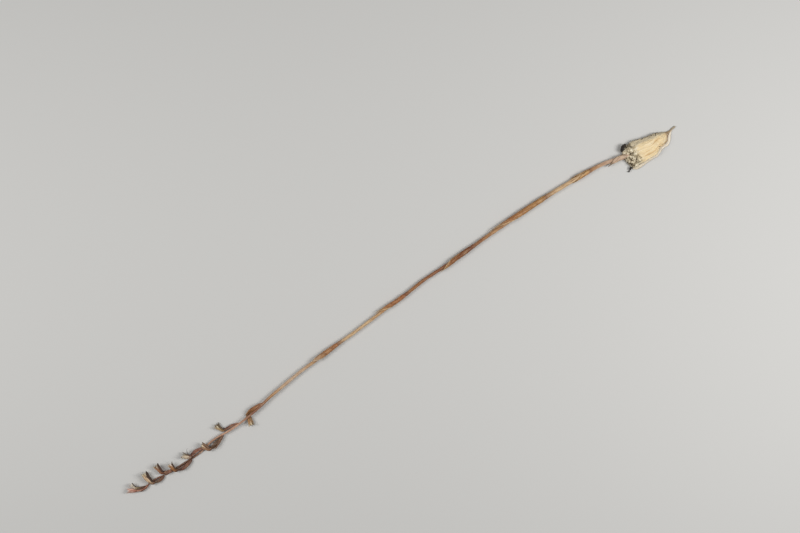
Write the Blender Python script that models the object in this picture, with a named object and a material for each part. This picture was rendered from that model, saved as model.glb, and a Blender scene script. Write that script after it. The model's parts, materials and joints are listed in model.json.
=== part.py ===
"""A dried flowering stem of a small ground orchid, lying on its side as it was lifted.

A thin scape carries six papery sheaths and, at its far end, nine small tubular blooms, each held by a bract.
At the near end it grows from one flattened tuberous root with a loose papery skin, crusted with soil.
Lengths are in millimetres until they reach Blender. Along runs from the tip of the raceme to the root's tail,
across is level and square to it, and height is above the surface that the plant lies on.
"""

import math

import bmesh
import bpy
from mathutils import Vector, noise

MM = 0.001
GAP = 0.3  # clearance that neighbouring pieces keep
BLADE = 0.6  # thickness of a bract
SHEATH_WALL = 0.52
SHEATH_GAP = 0.37

# The scape's centre line: along, across, height and bare radius.
SCAPE_LINE = [
    (279.2, 2.4, 2.3, 1.0),
    (276.0, 3.2, 2.05, 0.95),
    (270.0, 4.7, 1.8, 0.95),
    (262.0, 5.6, 1.72, 1.0),
    (250.0, 6.3, 1.72, 1.05),
    (238.0, 6.7, 1.64, 1.08),
    (220.0, 6.7, 1.64, 1.05),
    (205.0, 6.5, 1.62, 0.95),
    (196.0, 6.2, 1.62, 0.95),
    (180.0, 5.8, 1.62, 0.9),
    (170.0, 5.8, 1.6, 0.88),
    (158.0, 4.8, 1.6, 0.82),
    (148.0, 4.5, 1.6, 0.82),
    (138.0, 3.9, 1.58, 0.82),
    (128.0, 3.35, 1.58, 0.82),
    (119.0, 3.1, 1.62, 0.8),
    (108.0, 2.5, 1.62, 0.8),
    (98.0, 2.0, 1.66, 0.8),
    (88.0, 0.95, 1.8, 0.8),
    (79.0, -0.1, 2.1, 0.76),
    (74.0, -1.0, 2.25, 0.68),
    (70.0, -1.65, 2.35, 0.6),
    (66.0, -2.1, 2.35, 0.6),
    (60.0, -2.5, 2.15, 0.6),
    (54.0, -2.55, 1.8, 0.58),
    (49.0, -2.2, 1.45, 0.54),
    (45.0, -2.2, 1.15, 0.5),
    (42.0, -2.7, 0.85, 0.46),
    (39.0, -3.5, 0.65, 0.42),
    (35.0, -3.8, 0.55, 0.4),
    (30.0, -3.75, 0.5, 0.4),
    (26.0, -3.6, 0.5, 0.4),
    (21.5, -3.75, 0.5, 0.4),
    (17.5, -3.2, 0.5, 0.38),
    (13.5, -2.5, 0.52, 0.38),
    (9.0, -2.75, 0.75, 0.36),
    (5.4, -2.7, 1.25, 0.32),
]
SCAPE_STEP = 3.3  # spacing of the scape's rings
SCAPE_RIBS = 5  # lengthwise ribs left by drying
SCAPE_RIB_SHARE = 0.07  # how far they stand out, as a share of the radius
NODE_SWELL = 0.22  # extra radius where a sheath is joined to the scape
NODE_SPREAD = 1.3
SHEATHED_RADIUS = 0.56  # of the scape inside a sheath

# Each sheath: where its base and its free tip are along the scape, and which way its closed side faces,
# in degrees from level, with 90 straight up.
SHEATHS = [
    {"base": 278.8, "tip": 271.6, "facing": 80.0, "flare": 0.25},
    {"base": 262.0, "tip": 251.0, "facing": 200.0, "flare": 0.45},
    {"base": 238.0, "tip": 208.0, "facing": 60.0, "flare": 0.3},
    {"base": 196.0, "tip": 178.5, "facing": 120.0, "flare": 0.35},
    {"base": 158.0, "tip": 142.5, "facing": 70.0, "flare": 0.25},
    {"base": 119.0, "tip": 105.0, "facing": 35.0, "flare": 0.4},
]
SHEATH_STATIONS = 10
SHEATH_ARC_POINTS = 7
SHEATH_WRAP = 160.0  # half angle that a sheath wraps at its base, in degrees
SHEATH_TIP_WRAP = 10.0

# Each bloom, lowest first: its ovary's centre line as (along, across, height, radius), the points that its
# perianth goes on through, the side of the ovary that its bract covers, in degrees from level, and the
# bract's length as a share of the ovary's.
BLOOMS = [
    {
        "ovary": [
            (74.2, 0.6, 1.35, 0.36),
            (72.3, 0.25, 1.15, 0.62),
            (70.0, -0.05, 1.05, 0.7),
            (67.9, -0.3, 0.95, 0.62),
            (66.5, -0.85, 0.8, 0.48),
        ],
        "perianth": [(65.7, -3.0, 0.95, 0.8), (65.0, -6.2, 1.35, 1.05)],
        "bract_facing": 30.0,
        "bract_reach": 1.12,
        "lobe": 1.0,
    },
    {
        "ovary": [
            (58.9, -1.2, 1.25, 0.34),
            (56.8, -1.0, 0.95, 0.56),
            (54.6, -0.95, 0.85, 0.62),
            (52.9, -0.75, 0.95, 0.5),
        ],
        "perianth": [(51.6, 0.55, 1.2, 0.85), (51.0, 2.1, 1.45, 1.1)],
        "bract_facing": 45.0,
        "bract_reach": 0.95,
        "lobe": 1.1,
    },
    {
        "ovary": [
            (50.2, -3.75, 1.35, 0.4),
            (48.2, -4.15, 1.35, 0.85),
            (46.0, -4.45, 1.4, 1.05),
            (44.1, -4.75, 1.6, 1.0),
            (42.9, -4.9, 1.9, 0.75),
        ],
        "perianth": [(41.3, -2.9, 2.6, 0.82), (40.4, -0.9, 2.7, 1.0)],
        "bract_facing": 158.0,
        "bract_reach": 0.9,
        "lobe": 0.8,
    },
    {
        "ovary": [
            (38.7, -2.15, 1.65, 0.36),
            (37.2, -1.95, 1.6, 0.72),
            (35.2, -2.0, 1.55, 0.82),
            (33.2, -2.35, 1.55, 0.62),
        ],
        "perianth": [(31.1, -1.35, 1.75, 0.9), (29.9, 0.2, 1.8, 1.1)],
        "bract_facing": 60.0,
        "bract_reach": 1.0,
        "lobe": 1.0,
    },
    {
        "ovary": [
            (31.6, -4.85, 1.2, 0.38),
            (29.8, -5.05, 1.3, 0.82),
            (27.5, -5.15, 1.5, 0.94),
            (25.4, -4.95, 1.65, 0.88),
            (24.2, -4.55, 1.95, 0.66),
        ],
        "perianth": [(23.3, -2.6, 2.55, 0.8), (23.1, -0.5, 2.5, 0.95)],
        "bract_facing": 125.0,
        "bract_reach": 0.78,
        "lobe": 0.75,
    },
    {
        "ovary": [
            (21.6, -2.75, 1.45, 0.36),
            (20.3, -2.55, 1.7, 0.68),
            (19.2, -2.4, 1.9, 0.72),
            (18.4, -2.0, 2.1, 0.62),
        ],
        "perianth": [(17.5, 0.1, 2.2, 0.9), (17.1, 2.6, 2.0, 1.1)],
        "bract_facing": 110.0,
        "bract_reach": 0.9,
        "lobe": 0.9,
    },
    {
        "ovary": [
            (16.4, -4.2, 0.95, 0.34),
            (14.9, -4.1, 1.05, 0.66),
            (13.2, -3.95, 1.3, 0.7),
            (11.9, -3.45, 1.65, 0.6),
        ],
        "perianth": [(10.7, -0.6, 2.15, 0.95), (10.0, 2.9, 2.0, 1.15)],
        "bract_facing": 120.0,
        "bract_reach": 0.8,
        "lobe": 0.9,
    },
    {
        "ovary": [(4.6, -2.35, 1.35, 0.34), (3.3, -1.8, 1.35, 0.58), (2.0, -1.15, 1.3, 0.52)],
        "perianth": [(0.4, -0.2, 1.25, 0.66), (-0.9, 0.5, 1.2, 0.72)],
        "bract_facing": 170.0,
        "bract_reach": 0.95,
        "lobe": 0.75,
    },
    {
        "ovary": [(6.4, -1.75, 1.75, 0.32), (5.5, -0.85, 2.1, 0.55), (4.6, -0.05, 2.2, 0.5)],
        "perianth": [(3.4, 0.95, 2.15, 0.62), (2.8, 1.6, 2.05, 0.7)],
        "bract_facing": 100.0,
        "bract_reach": 0.9,
        "lobe": 0.7,
    },
]
OVARY_RIBS = 6
OVARY_RIB_SHARE = 0.13
OVARY_TWIST = 70.0  # degrees that the ovary turns along its length
OVARY_STATIONS = 8
OVARY_POINTS = 12
BRACT_STATIONS = 7
BRACT_ARC_POINTS = 4
BRACT_WRAP = 62.0
BRACT_TIP_WRAP = 6.0
ELBOW = 0.4  # how far a perianth goes straight on from its ovary before it bends
PERIANTH_POINTS = 18
PERIANTH_OUTER = 6  # rings on its outside, then the same count less two inside its throat
PERIANTH_THROAT = 0.45  # how far the throat goes back, as a share of its length
PERIANTH_WALL = 0.5
# The six segments round the mouth: how far each one's tip stands forward and out, beside the lobe size.
SEGMENTS = [(1.0, 0.45), (0.5, 0.05), (0.85, 0.4), (0.5, 0.75), (0.85, 0.4), (0.5, 0.05)]

# The tuberous root, seen from above: along, upper edge across, lower edge across and half its thickness.
TUBER_OUTLINE = [
    (279.6, 4.0, -2.5, 1.15),
    (280.4, 4.9, -4.2, 1.5),
    (282.0, 5.6, -5.0, 1.7),
    (284.7, 6.2, -5.2, 1.95),
    (287.4, 6.15, -5.25, 2.25),
    (289.0, 5.8, -5.3, 2.35),
    (290.6, 5.1, -5.35, 2.35),
    (291.6, 4.5, -5.4, 2.3),
    (293.4, 4.1, -5.5, 2.25),
    (294.7, 3.9, -4.8, 2.15),
    (296.0, 3.75, -3.95, 2.05),
    (297.8, 3.5, -3.6, 1.9),
    (299.9, 2.7, -3.5, 1.65),
    (301.2, 2.15, -3.0, 1.4),
    (302.2, 1.6, -1.85, 1.1),
    (303.2, 0.95, -0.75, 0.75),
    (304.0, 0.6, -0.25, 0.42),
    (305.4, 0.72, 0.0, 0.34),
    (306.9, 0.95, 0.25, 0.32),
    (308.2, 1.05, 0.5, 0.26),
]
TUBER_POINTS = 40
TUBER_SINK = 0.12  # how much of its round underside is flattened where it lies
TUBER_FIBRE = 0.2  # height of the lengthwise fibres
TUBER_FIBRES = 10  # round the whole root, of which the upper ones show
TUBER_RAG = 0.55  # how ragged its broken upper end is
TAIL_STARTS = 303.8
TAIL_LIFT = 0.35

# The loose skin along the root's lower edge: along, across, height and half its width.
SKIN_LINE = [
    (280.6, -5.35, 0.62, 0.45),
    (282.6, -5.65, 0.6, 0.55),
    (285.0, -5.65, 0.55, 0.55),
    (288.0, -5.6, 0.52, 0.55),
    (290.6, -5.65, 0.5, 0.55),
    (292.2, -5.85, 0.5, 0.55),
    (293.7, -5.95, 0.5, 0.55),
    (294.9, -5.35, 0.5, 0.55),
    (296.3, -4.5, 0.5, 0.5),
    (298.1, -4.15, 0.5, 0.5),
    (300.0, -4.2, 0.5, 0.5),
    (301.4, -3.8, 0.5, 0.48),
    (302.5, -2.75, 0.5, 0.45),
    (303.7, -1.6, 0.5, 0.4),
    (305.0, -0.8, 0.5, 0.3),
]
SKIN_THICK = 0.6
SKIN_STATIONS = 26
SKIN_FOLD = 0.12  # how far its edge waves

# The two blackened stubs of old roots beside the scape's foot.
STUBS = {
    "root_stub_upper": [(280.3, 5.6, 2.5, 0.5), (281.8, 6.3, 2.65, 0.8), (283.4, 6.95, 2.5, 0.5)],
    "root_stub_lower": [(279.6, -4.1, 1.1, 0.5), (278.9, -4.6, 0.85, 0.38), (278.0, -5.1, 0.6, 0.2)],
}
STUB_POINTS = 9
STUB_STATIONS = 6

# The crust of soil on the root's upper end.
CRUST_ALONG = (280.3, 286.0)
CRUST_ACROSS = (-4.3, 5.2)
CRUST_ROWS = 11
CRUST_COLUMNS = 14
CRUST_LIFT = 0.36
CRUST_THICK = 0.62
CRUST_LUMP = 0.7
CRUST_EDGE_RAG = 1.3

FINISHES = {
    "scape": ("#B5824F", 0.55),
    "sheath": ("#B98A55", 0.6),
    "bract": ("#8C5A3C", 0.6),
    "ovary": ("#7A4630", 0.55),
    "perianth": ("#CBAA7C", 0.6),
    "tuber": ("#D9C294", 0.75),
    "skin": ("#C9B49A", 0.6),
    "stub": ("#2A211B", 0.85),
    "soil": ("#6B5E4C", 0.95),
}


class Line:
    """A smooth line through a few points, each (along, across, height, size), walked by its length."""

    def __init__(self, points):
        self.points = [Vector(point) for point in points]
        self.knots = [0.0]
        for a, b in zip(self.points, self.points[1:]):
            self.knots.append(self.knots[-1] + (b.xyz - a.xyz).length)
        self.length = self.knots[-1]

    def slope(self, index):
        low = max(index - 1, 0)
        high = min(index + 1, len(self.points) - 1)
        return (self.points[high] - self.points[low]) / (self.knots[high] - self.knots[low])

    def value(self, distance):
        """The point and size at a distance, past either end along the end's own direction."""
        if distance <= 0.0:
            return self.points[0] + self.slope(0) * distance
        if distance >= self.length:
            return self.points[-1] + self.slope(len(self.points) - 1) * (distance - self.length)
        index = max(i for i, knot in enumerate(self.knots[:-1]) if knot <= distance)
        span = self.knots[index + 1] - self.knots[index]
        t = (distance - self.knots[index]) / span
        start, end = self.points[index], self.points[index + 1]
        from_start = self.slope(index) * span
        from_end = self.slope(index + 1) * span
        return (
            start * (2 * t**3 - 3 * t**2 + 1)
            + from_start * (t**3 - 2 * t**2 + t)
            + end * (3 * t**2 - 2 * t**3)
            + from_end * (t**3 - t**2)
        )

    def frame(self, share):
        """Centre, level side, upward side, direction and size at a share of the length."""
        distance = share * self.length
        here = self.value(distance)
        ahead = self.value(distance + 0.05).xyz - self.value(distance - 0.05).xyz
        ahead.normalize()
        side = ahead.cross(Vector((0.0, 0.0, 1.0))).normalized()
        up = side.cross(ahead)
        return here.xyz, side, up, ahead, here.w

    def share_at(self, along):
        """The share of the length at which the line reaches a distance along the plant."""
        low, high = 0.0, 1.0
        for _ in range(30):
            middle = (low + high) / 2
            if self.value(middle * self.length).x > along:
                low = middle
            else:
                high = middle
        return (low + high) / 2


SCAPE = Line(SCAPE_LINE)


def between(low, high, share):
    return low + (high - low) * share


def linear(hex_colour):
    """An sRGB hex colour as linear values, with full alpha."""
    channels = [int(hex_colour[i : i + 2], 16) / 255 for i in (1, 3, 5)]
    return [c / 12.92 if c <= 0.04045 else ((c + 0.055) / 1.055) ** 2.4 for c in channels] + [1.0]


def finish(name, kind):
    colour, roughness = FINISHES[kind]
    material = bpy.data.materials.new(name)
    material.use_nodes = True
    shader = material.node_tree.nodes["Principled BSDF"]
    shader.inputs["Base Color"].default_value = linear(colour)
    shader.inputs["Roughness"].default_value = roughness
    shader.inputs["Metallic"].default_value = 0.0
    return material


def clear_scene():
    for item in list(bpy.data.objects):
        bpy.data.objects.remove(item, do_unlink=True)


def close_end(shape, row, folded):
    """Closes one end: a fan from the middle, or for a folded ring the strip between its back and its face."""
    if not folded:
        bmesh.ops.poke(shape, faces=[shape.faces.new(row)])
        return
    last = len(row) - 1
    for i in range(len(row) // 2 - 1):
        shape.faces.new((row[i], row[i + 1], row[last - i - 1]))
        shape.faces.new((row[i], row[last - i - 1], row[last - i]))


def solid(name, rings, kind, parent, folded=False):
    """One closed solid skinned over rings of points in millimetres."""
    mesh = bpy.data.meshes.new(name)
    shape = bmesh.new()
    rows = [[shape.verts.new(Vector(point) * MM) for point in ring] for ring in rings]
    count = len(rows[0])
    for first, second in zip(rows, rows[1:]):
        for i in range(count):
            j = (i + 1) % count
            shape.faces.new((first[i], first[j], second[j]))
            shape.faces.new((first[i], second[j], second[i]))
    close_end(shape, rows[0], folded)
    close_end(shape, rows[-1], folded)
    bmesh.ops.recalc_face_normals(shape, faces=shape.faces)
    shape.to_mesh(mesh)
    shape.free()
    mesh.shade_smooth()
    mesh.set_sharp_from_angle(angle=math.radians(60))
    mesh.materials.append(finish(name, kind))
    item = bpy.data.objects.new(name, mesh)
    bpy.context.scene.collection.objects.link(item)
    item.parent = parent
    return item


def ribbed(radius, angle, ribs, share):
    return radius * (1 + share * math.cos(ribs * angle))


def ring_round(frame, radius_at, count, stretch=0.0):
    """A ring of points round a line, where radius_at(angle) gives the distance from it."""
    centre, side, up, ahead, _ = frame
    ring = []
    for i in range(count):
        angle = math.tau * i / count
        radius = radius_at(angle)
        ring.append(centre + side * radius * math.cos(angle) + up * radius * math.sin(angle) + ahead * stretch)
    return ring


def scape_radius(along, bare):
    """The scape's radius: swollen where a sheath starts and slim inside the sheath."""
    radius = bare
    for sheath in SHEATHS:
        inside = sheath["tip"] - 1.2 <= along <= sheath["base"] + 0.5
        if inside:
            radius = min(radius, SHEATHED_RADIUS)
        past = along - (sheath["base"] + 1.6)
        if not inside and abs(past) < 3 * NODE_SPREAD:
            radius += NODE_SWELL * math.exp(-((past / NODE_SPREAD) ** 2))
    return radius


def scape_stations():
    """Even stations along the scape, with a pair beside each end of each sheath."""
    steps = round(SCAPE.length / SCAPE_STEP)
    shares = [i / steps for i in range(steps + 1)]
    for sheath in SHEATHS:
        for along in (sheath["base"] + 1.6, sheath["base"] + 0.7, sheath["base"] + 0.45):
            if along < SCAPE_LINE[0][0]:
                shares.append(SCAPE.share_at(along))
        shares.append(SCAPE.share_at(sheath["tip"] - 1.0))
        shares.append(SCAPE.share_at(sheath["tip"] - 1.5))
    shares.sort()
    kept = [shares[0]]
    for share in shares[1:]:
        if (share - kept[-1]) * SCAPE.length > 0.15:
            kept.append(share)
    return kept


def add_scape(parent):
    rings = []
    for share in scape_stations():
        frame = SCAPE.frame(share)
        radius = scape_radius(frame[0].x, frame[4])
        rings.append(
            ring_round(
                frame,
                lambda angle, r=radius: ribbed(r, angle, SCAPE_RIBS, SCAPE_RIB_SHARE),
                2 * SCAPE_RIBS,
            )
        )
    solid("scape", rings, "scape", parent)


def gutter_ring(frame, inner, wall, facing, half_angle, points):
    """A ring round the wall of a blade that wraps a line: out along its back and home along its face."""
    centre, side, up, _, _ = frame
    arc = [facing + half_angle * between(-1, 1, i / (points - 1)) for i in range(points)]
    ring = []
    for angle in arc:
        ring.append(centre + (side * math.cos(angle) + up * math.sin(angle)) * (inner + wall))
    for angle in reversed(arc):
        ring.append(centre + (side * math.cos(angle) + up * math.sin(angle)) * inner)
    return ring


def add_sheath(index, sheath, parent):
    """A papery sheath: closed round the scape at its base, open and pointed at its tip."""
    start, end = SCAPE.share_at(sheath["base"]), SCAPE.share_at(sheath["tip"])
    inner = SHEATHED_RADIUS * (1 + SCAPE_RIB_SHARE) + SHEATH_GAP
    facing = math.radians(sheath["facing"])
    rings = []
    for i in range(SHEATH_STATIONS):
        share = i / (SHEATH_STATIONS - 1)
        frame = SCAPE.frame(between(start, end, share))
        wrap = math.radians(between(SHEATH_WRAP, SHEATH_TIP_WRAP, share**1.6))
        lift = sheath["flare"] * math.sin(math.pi * share**2) * 0.5
        rings.append(
            gutter_ring(frame, inner + lift, SHEATH_WALL, facing, wrap, SHEATH_ARC_POINTS)
        )
    solid(f"sheath_{index}", rings, "sheath", parent, folded=True)


def add_ovary(name, line, parent):
    """The ovary: spindle-shaped, ribbed and twisted."""
    rings = []
    for i in range(OVARY_STATIONS):
        share = i / (OVARY_STATIONS - 1)
        frame = line.frame(share)
        turn = math.radians(OVARY_TWIST) * share
        rings.append(
            ring_round(
                frame,
                lambda angle, r=frame[4], t=turn: ribbed(r, angle + t, OVARY_RIBS, OVARY_RIB_SHARE),
                OVARY_POINTS,
            )
        )
    solid(name, rings, "ovary", parent)


def add_bract(name, line, facing, reach, parent):
    """The floral bract: a pointed blade cupped round one side of the ovary."""
    rings = []
    for i in range(BRACT_STATIONS):
        share = i / (BRACT_STATIONS - 1)
        frame = line.frame(between(0.04, reach, share))
        widest = math.sin(math.pi * min(share + 0.22, 1.0)) ** 0.7
        wrap = math.radians(BRACT_TIP_WRAP + (BRACT_WRAP - BRACT_TIP_WRAP) * widest)
        inner = frame[4] * (1 + OVARY_RIB_SHARE) + GAP
        rings.append(
            gutter_ring(frame, inner, BLADE, math.radians(facing), wrap, BRACT_ARC_POINTS)
        )
    solid(name, rings, "bract", parent, folded=True)


def perianth_line(ovary, points):
    """A perianth's centre line: on from the ovary's end by a small gap, then round to its own points."""
    end, _, _, ahead, radius = ovary.frame(1.0)
    start = end + ahead * GAP
    elbow = start + ahead * ELBOW
    return Line([(*start, radius * 0.92), (*elbow, radius * 0.95), *points])


def perianth_ring(line, share, inset, lobe):
    """A ring of the flower's tube; near the mouth it breaks into six segments that stand forward and out."""
    centre, side, up, ahead, radius = line.frame(share)
    opening = max(0.0, (share - 0.55) / 0.45) ** 2
    ring = []
    for i in range(PERIANTH_POINTS):
        angle = math.tau * i / PERIANTH_POINTS
        place = len(SEGMENTS) * i / PERIANTH_POINTS
        forward, out = SEGMENTS[int(place + 0.5) % len(SEGMENTS)]
        peak = math.cos(math.pi * (place - round(place))) ** 2
        reach = radius - inset + opening * out * peak * lobe * 0.75
        tip = opening * (forward * peak - 0.3 * (1 - peak)) * lobe
        across = side * math.cos(angle) + up * math.sin(angle)
        ring.append(centre + across * reach + ahead * tip)
    return ring


def add_perianth(name, line, lobe, parent):
    """Sepals, petals and lip joined in a tube, with a hollow throat at the mouth."""
    rings = []
    for i in range(PERIANTH_OUTER):
        rings.append(perianth_ring(line, i / (PERIANTH_OUTER - 1), 0.0, lobe))
    throat = PERIANTH_OUTER - 2
    for i in range(throat):
        share = 1 - PERIANTH_THROAT * i / (throat - 1)
        wall = min(PERIANTH_WALL, line.frame(share)[4] * 0.55)
        rings.append(perianth_ring(line, share, wall, lobe))
    solid(name, rings, "perianth", parent)


def tuber_section(along):
    """Middle, half width and half thickness of the root at a distance along the plant."""
    rows = TUBER_OUTLINE
    along = min(max(along, rows[0][0]), rows[-1][0])
    for first, second in zip(rows, rows[1:]):
        if along <= second[0]:
            share = (along - first[0]) / (second[0] - first[0])
            upper, lower, half = (between(first[k], second[k], share) for k in (1, 2, 3))
            return (upper + lower) / 2, (upper - lower) / 2, half
    return None


def tuber_fibre(along, angle):
    """Height of the fibres that run along the upper side of the flesh, fading towards its two ends."""
    fade = max(0.0, min(1.0, (along - 284.0) / 4.0, (303.5 - along) / 4.0))
    wander = 0.8 * noise.noise(Vector((along * 0.16, 3.0, 4.0)))
    return TUBER_FIBRE * math.cos(TUBER_FIBRES * angle + wander) * fade * max(0.0, math.sin(angle))


def tuber_point(along, angle):
    middle, half, thick = tuber_section(along)
    lift = TAIL_LIFT if along > TAIL_STARTS else 0.0
    across = middle + half * math.cos(angle)
    height = thick - TUBER_SINK + thick * math.sin(angle)
    height += tuber_fibre(along, angle)
    lump = noise.noise(Vector((along * 0.33, across * 0.33, 9.0))) * 0.35
    height += lump * max(0.0, math.sin(angle)) * min(1.0, half / 3.0)
    return Vector((along, across, max(0.0, height) + lift))


def add_tuber(parent):
    """The flattened tuberous root, with its flesh's fibres and its thin tail."""
    rings = []
    for row, (along, *_) in enumerate(TUBER_OUTLINE):
        ring = []
        for i in range(TUBER_POINTS):
            angle = math.tau * i / TUBER_POINTS
            point = tuber_point(along, angle)
            if row < 2:
                rag = noise.noise(Vector((math.cos(angle) * 2.3, math.sin(angle) * 2.3, 2.0)))
                point.x += abs(rag) * TUBER_RAG
            ring.append(point)
        rings.append(ring)
    solid("root_tuber", rings, "tuber", parent)


def add_skin(parent):
    """The strip of papery skin that has come away along the root's lower edge."""
    line = Line(SKIN_LINE)
    rings = []
    for i in range(SKIN_STATIONS):
        centre, side, up, _, half = line.frame(i / (SKIN_STATIONS - 1))
        wave = SKIN_FOLD * math.sin(centre.x * 1.9) + SKIN_FOLD * 0.7 * math.sin(centre.x * 3.7 + 1)
        outline = [(-1, -0.5), (0, -0.5), (1, -0.4), (1.15, 0.0), (1, 0.5), (0, 0.5), (-1, 0.5)]
        ring = []
        for across, height in outline:
            ring.append(
                centre
                + side * across * half
                + up * (height * SKIN_THICK + (wave + SKIN_FOLD if across >= 1 else 0.0))
            )
        rings.append(ring)
    solid("root_skin", rings, "skin", parent)


def add_stub(name, points, parent):
    line = Line(points)
    rings = []
    for i in range(STUB_STATIONS):
        frame = line.frame(i / (STUB_STATIONS - 1))
        seed = Vector((i * 0.8, len(name), 0.0))
        rings.append(
            ring_round(
                frame,
                lambda angle, r=frame[4], s=seed: r * (1 + 0.22 * noise.noise(s + Vector((0, 0, angle * 1.5)))),
                STUB_POINTS,
            )
        )
    solid(name, rings, "stub", parent)


def add_crust(parent):
    """Soil caked on the root's upper end, as lumps that follow the flesh below them."""
    rings = []
    for row in range(CRUST_ROWS):
        along_share = row / (CRUST_ROWS - 1)
        narrow = 1 - 0.4 * (2 * along_share - 1) ** 4
        top, bottom = [], []
        for column in range(CRUST_COLUMNS):
            across = between(*CRUST_ACROSS, column / (CRUST_COLUMNS - 1))
            across = 0.5 + (across - 0.5) * narrow
            rag = noise.noise(Vector((row * 0.9, across * 0.8, 1.0))) * CRUST_EDGE_RAG
            along = between(*CRUST_ALONG, along_share) + rag * along_share
            middle, half, _ = tuber_section(along)
            level = max(-0.97, min(0.97, (across - middle) / half))
            below = tuber_point(along, math.acos(level)).z + CRUST_LIFT
            edge = min(1.0, 0.45 + 2.2 * min(along_share, 1 - along_share))
            lump = noise.noise(Vector((along * 1.15, across * 1.15, 7.0)))
            thick = max(0.32, (CRUST_THICK + CRUST_LUMP * lump) * edge)
            bottom.append(Vector((along, across, below)))
            top.append(Vector((along, across, below + thick)))
        rings.append(top + bottom[::-1])
    solid("soil_crust", rings, "soil", parent, folded=True)


def centre_on_floor(parent):
    """Puts the origin under the middle of the plant, at the lowest point that it lies on."""
    bpy.context.view_layer.update()
    points = [v.co for item in parent.children for v in item.data.vertices]
    low = [min(p[axis] for p in points) for axis in range(3)]
    high = [max(p[axis] for p in points) for axis in range(3)]
    parent.location = (-(low[0] + high[0]) / 2, -(low[1] + high[1]) / 2, -low[2])
    bpy.context.view_layer.update()


def main():
    clear_scene()
    plant = bpy.data.objects.new("plant", None)
    bpy.context.scene.collection.objects.link(plant)
    add_scape(plant)
    for index, sheath in enumerate(SHEATHS, 1):
        add_sheath(index, sheath, plant)
    for index, bloom in enumerate(BLOOMS, 1):
        ovary = Line(bloom["ovary"])
        add_ovary(f"bloom_{index}_ovary", ovary, plant)
        add_bract(f"bloom_{index}_bract", ovary, bloom["bract_facing"], bloom["bract_reach"], plant)
        perianth = perianth_line(ovary, bloom["perianth"])
        add_perianth(f"bloom_{index}_perianth", perianth, bloom["lobe"], plant)
    add_tuber(plant)
    add_skin(plant)
    for name, points in STUBS.items():
        add_stub(name, points, plant)
    add_crust(plant)
    centre_on_floor(plant)


main()
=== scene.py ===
"""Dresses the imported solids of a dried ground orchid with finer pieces, their materials and a plain studio.

Lengths here are millimetres until they reach Blender. Along runs from the raceme's tip to the root's tail,
across is level and square to it, and height is above the surface that the plant lies on.
"""

import json
import math
import random

import bmesh
import bpy
from bpy.props import BoolProperty, FloatProperty, FloatVectorProperty, IntProperty, PointerProperty
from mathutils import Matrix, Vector, noise

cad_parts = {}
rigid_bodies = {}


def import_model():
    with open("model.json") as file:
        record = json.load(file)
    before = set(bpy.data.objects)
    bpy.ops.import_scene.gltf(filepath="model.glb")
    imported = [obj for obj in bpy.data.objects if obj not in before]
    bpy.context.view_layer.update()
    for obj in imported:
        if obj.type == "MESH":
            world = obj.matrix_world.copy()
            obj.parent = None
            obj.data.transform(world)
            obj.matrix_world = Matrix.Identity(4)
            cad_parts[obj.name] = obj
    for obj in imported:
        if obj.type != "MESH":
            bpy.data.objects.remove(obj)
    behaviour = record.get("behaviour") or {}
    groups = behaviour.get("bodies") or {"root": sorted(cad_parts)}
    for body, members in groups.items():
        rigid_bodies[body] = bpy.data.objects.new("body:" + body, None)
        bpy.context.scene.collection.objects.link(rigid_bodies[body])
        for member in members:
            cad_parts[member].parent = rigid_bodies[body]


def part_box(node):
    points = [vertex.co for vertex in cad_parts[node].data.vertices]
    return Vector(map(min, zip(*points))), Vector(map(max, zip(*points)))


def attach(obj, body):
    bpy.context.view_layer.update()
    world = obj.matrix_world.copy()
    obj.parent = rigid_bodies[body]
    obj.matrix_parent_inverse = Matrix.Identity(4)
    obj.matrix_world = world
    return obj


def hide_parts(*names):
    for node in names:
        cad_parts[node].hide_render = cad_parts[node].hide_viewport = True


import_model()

bl_info = {
    "name": "Dried ground orchid",
    "version": (1, 0, 0),
    "blender": (4, 5, 0),
    "location": "View3D > Sidebar > Orchid",
    "description": "Dresses a dried ground orchid: furrowed stem, papery sheaths, blooms, tuberous root",
    "category": "Add Mesh",
}

MM = 0.001
TAIL_END = 308.2  # how far along the root's tail ends
ROOT_EDGE = -5.5  # how far across the root's lower edge lies
ROOT_LOW, ROOT_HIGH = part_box("root_tuber")
ORIGIN = Vector((ROOT_HIGH.x - TAIL_END * MM, ROOT_LOW.y - ROOT_EDGE * MM, 0.0))
ROUND = 180.0  # half angle of a sheet that is rolled into a closed tube

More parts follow.
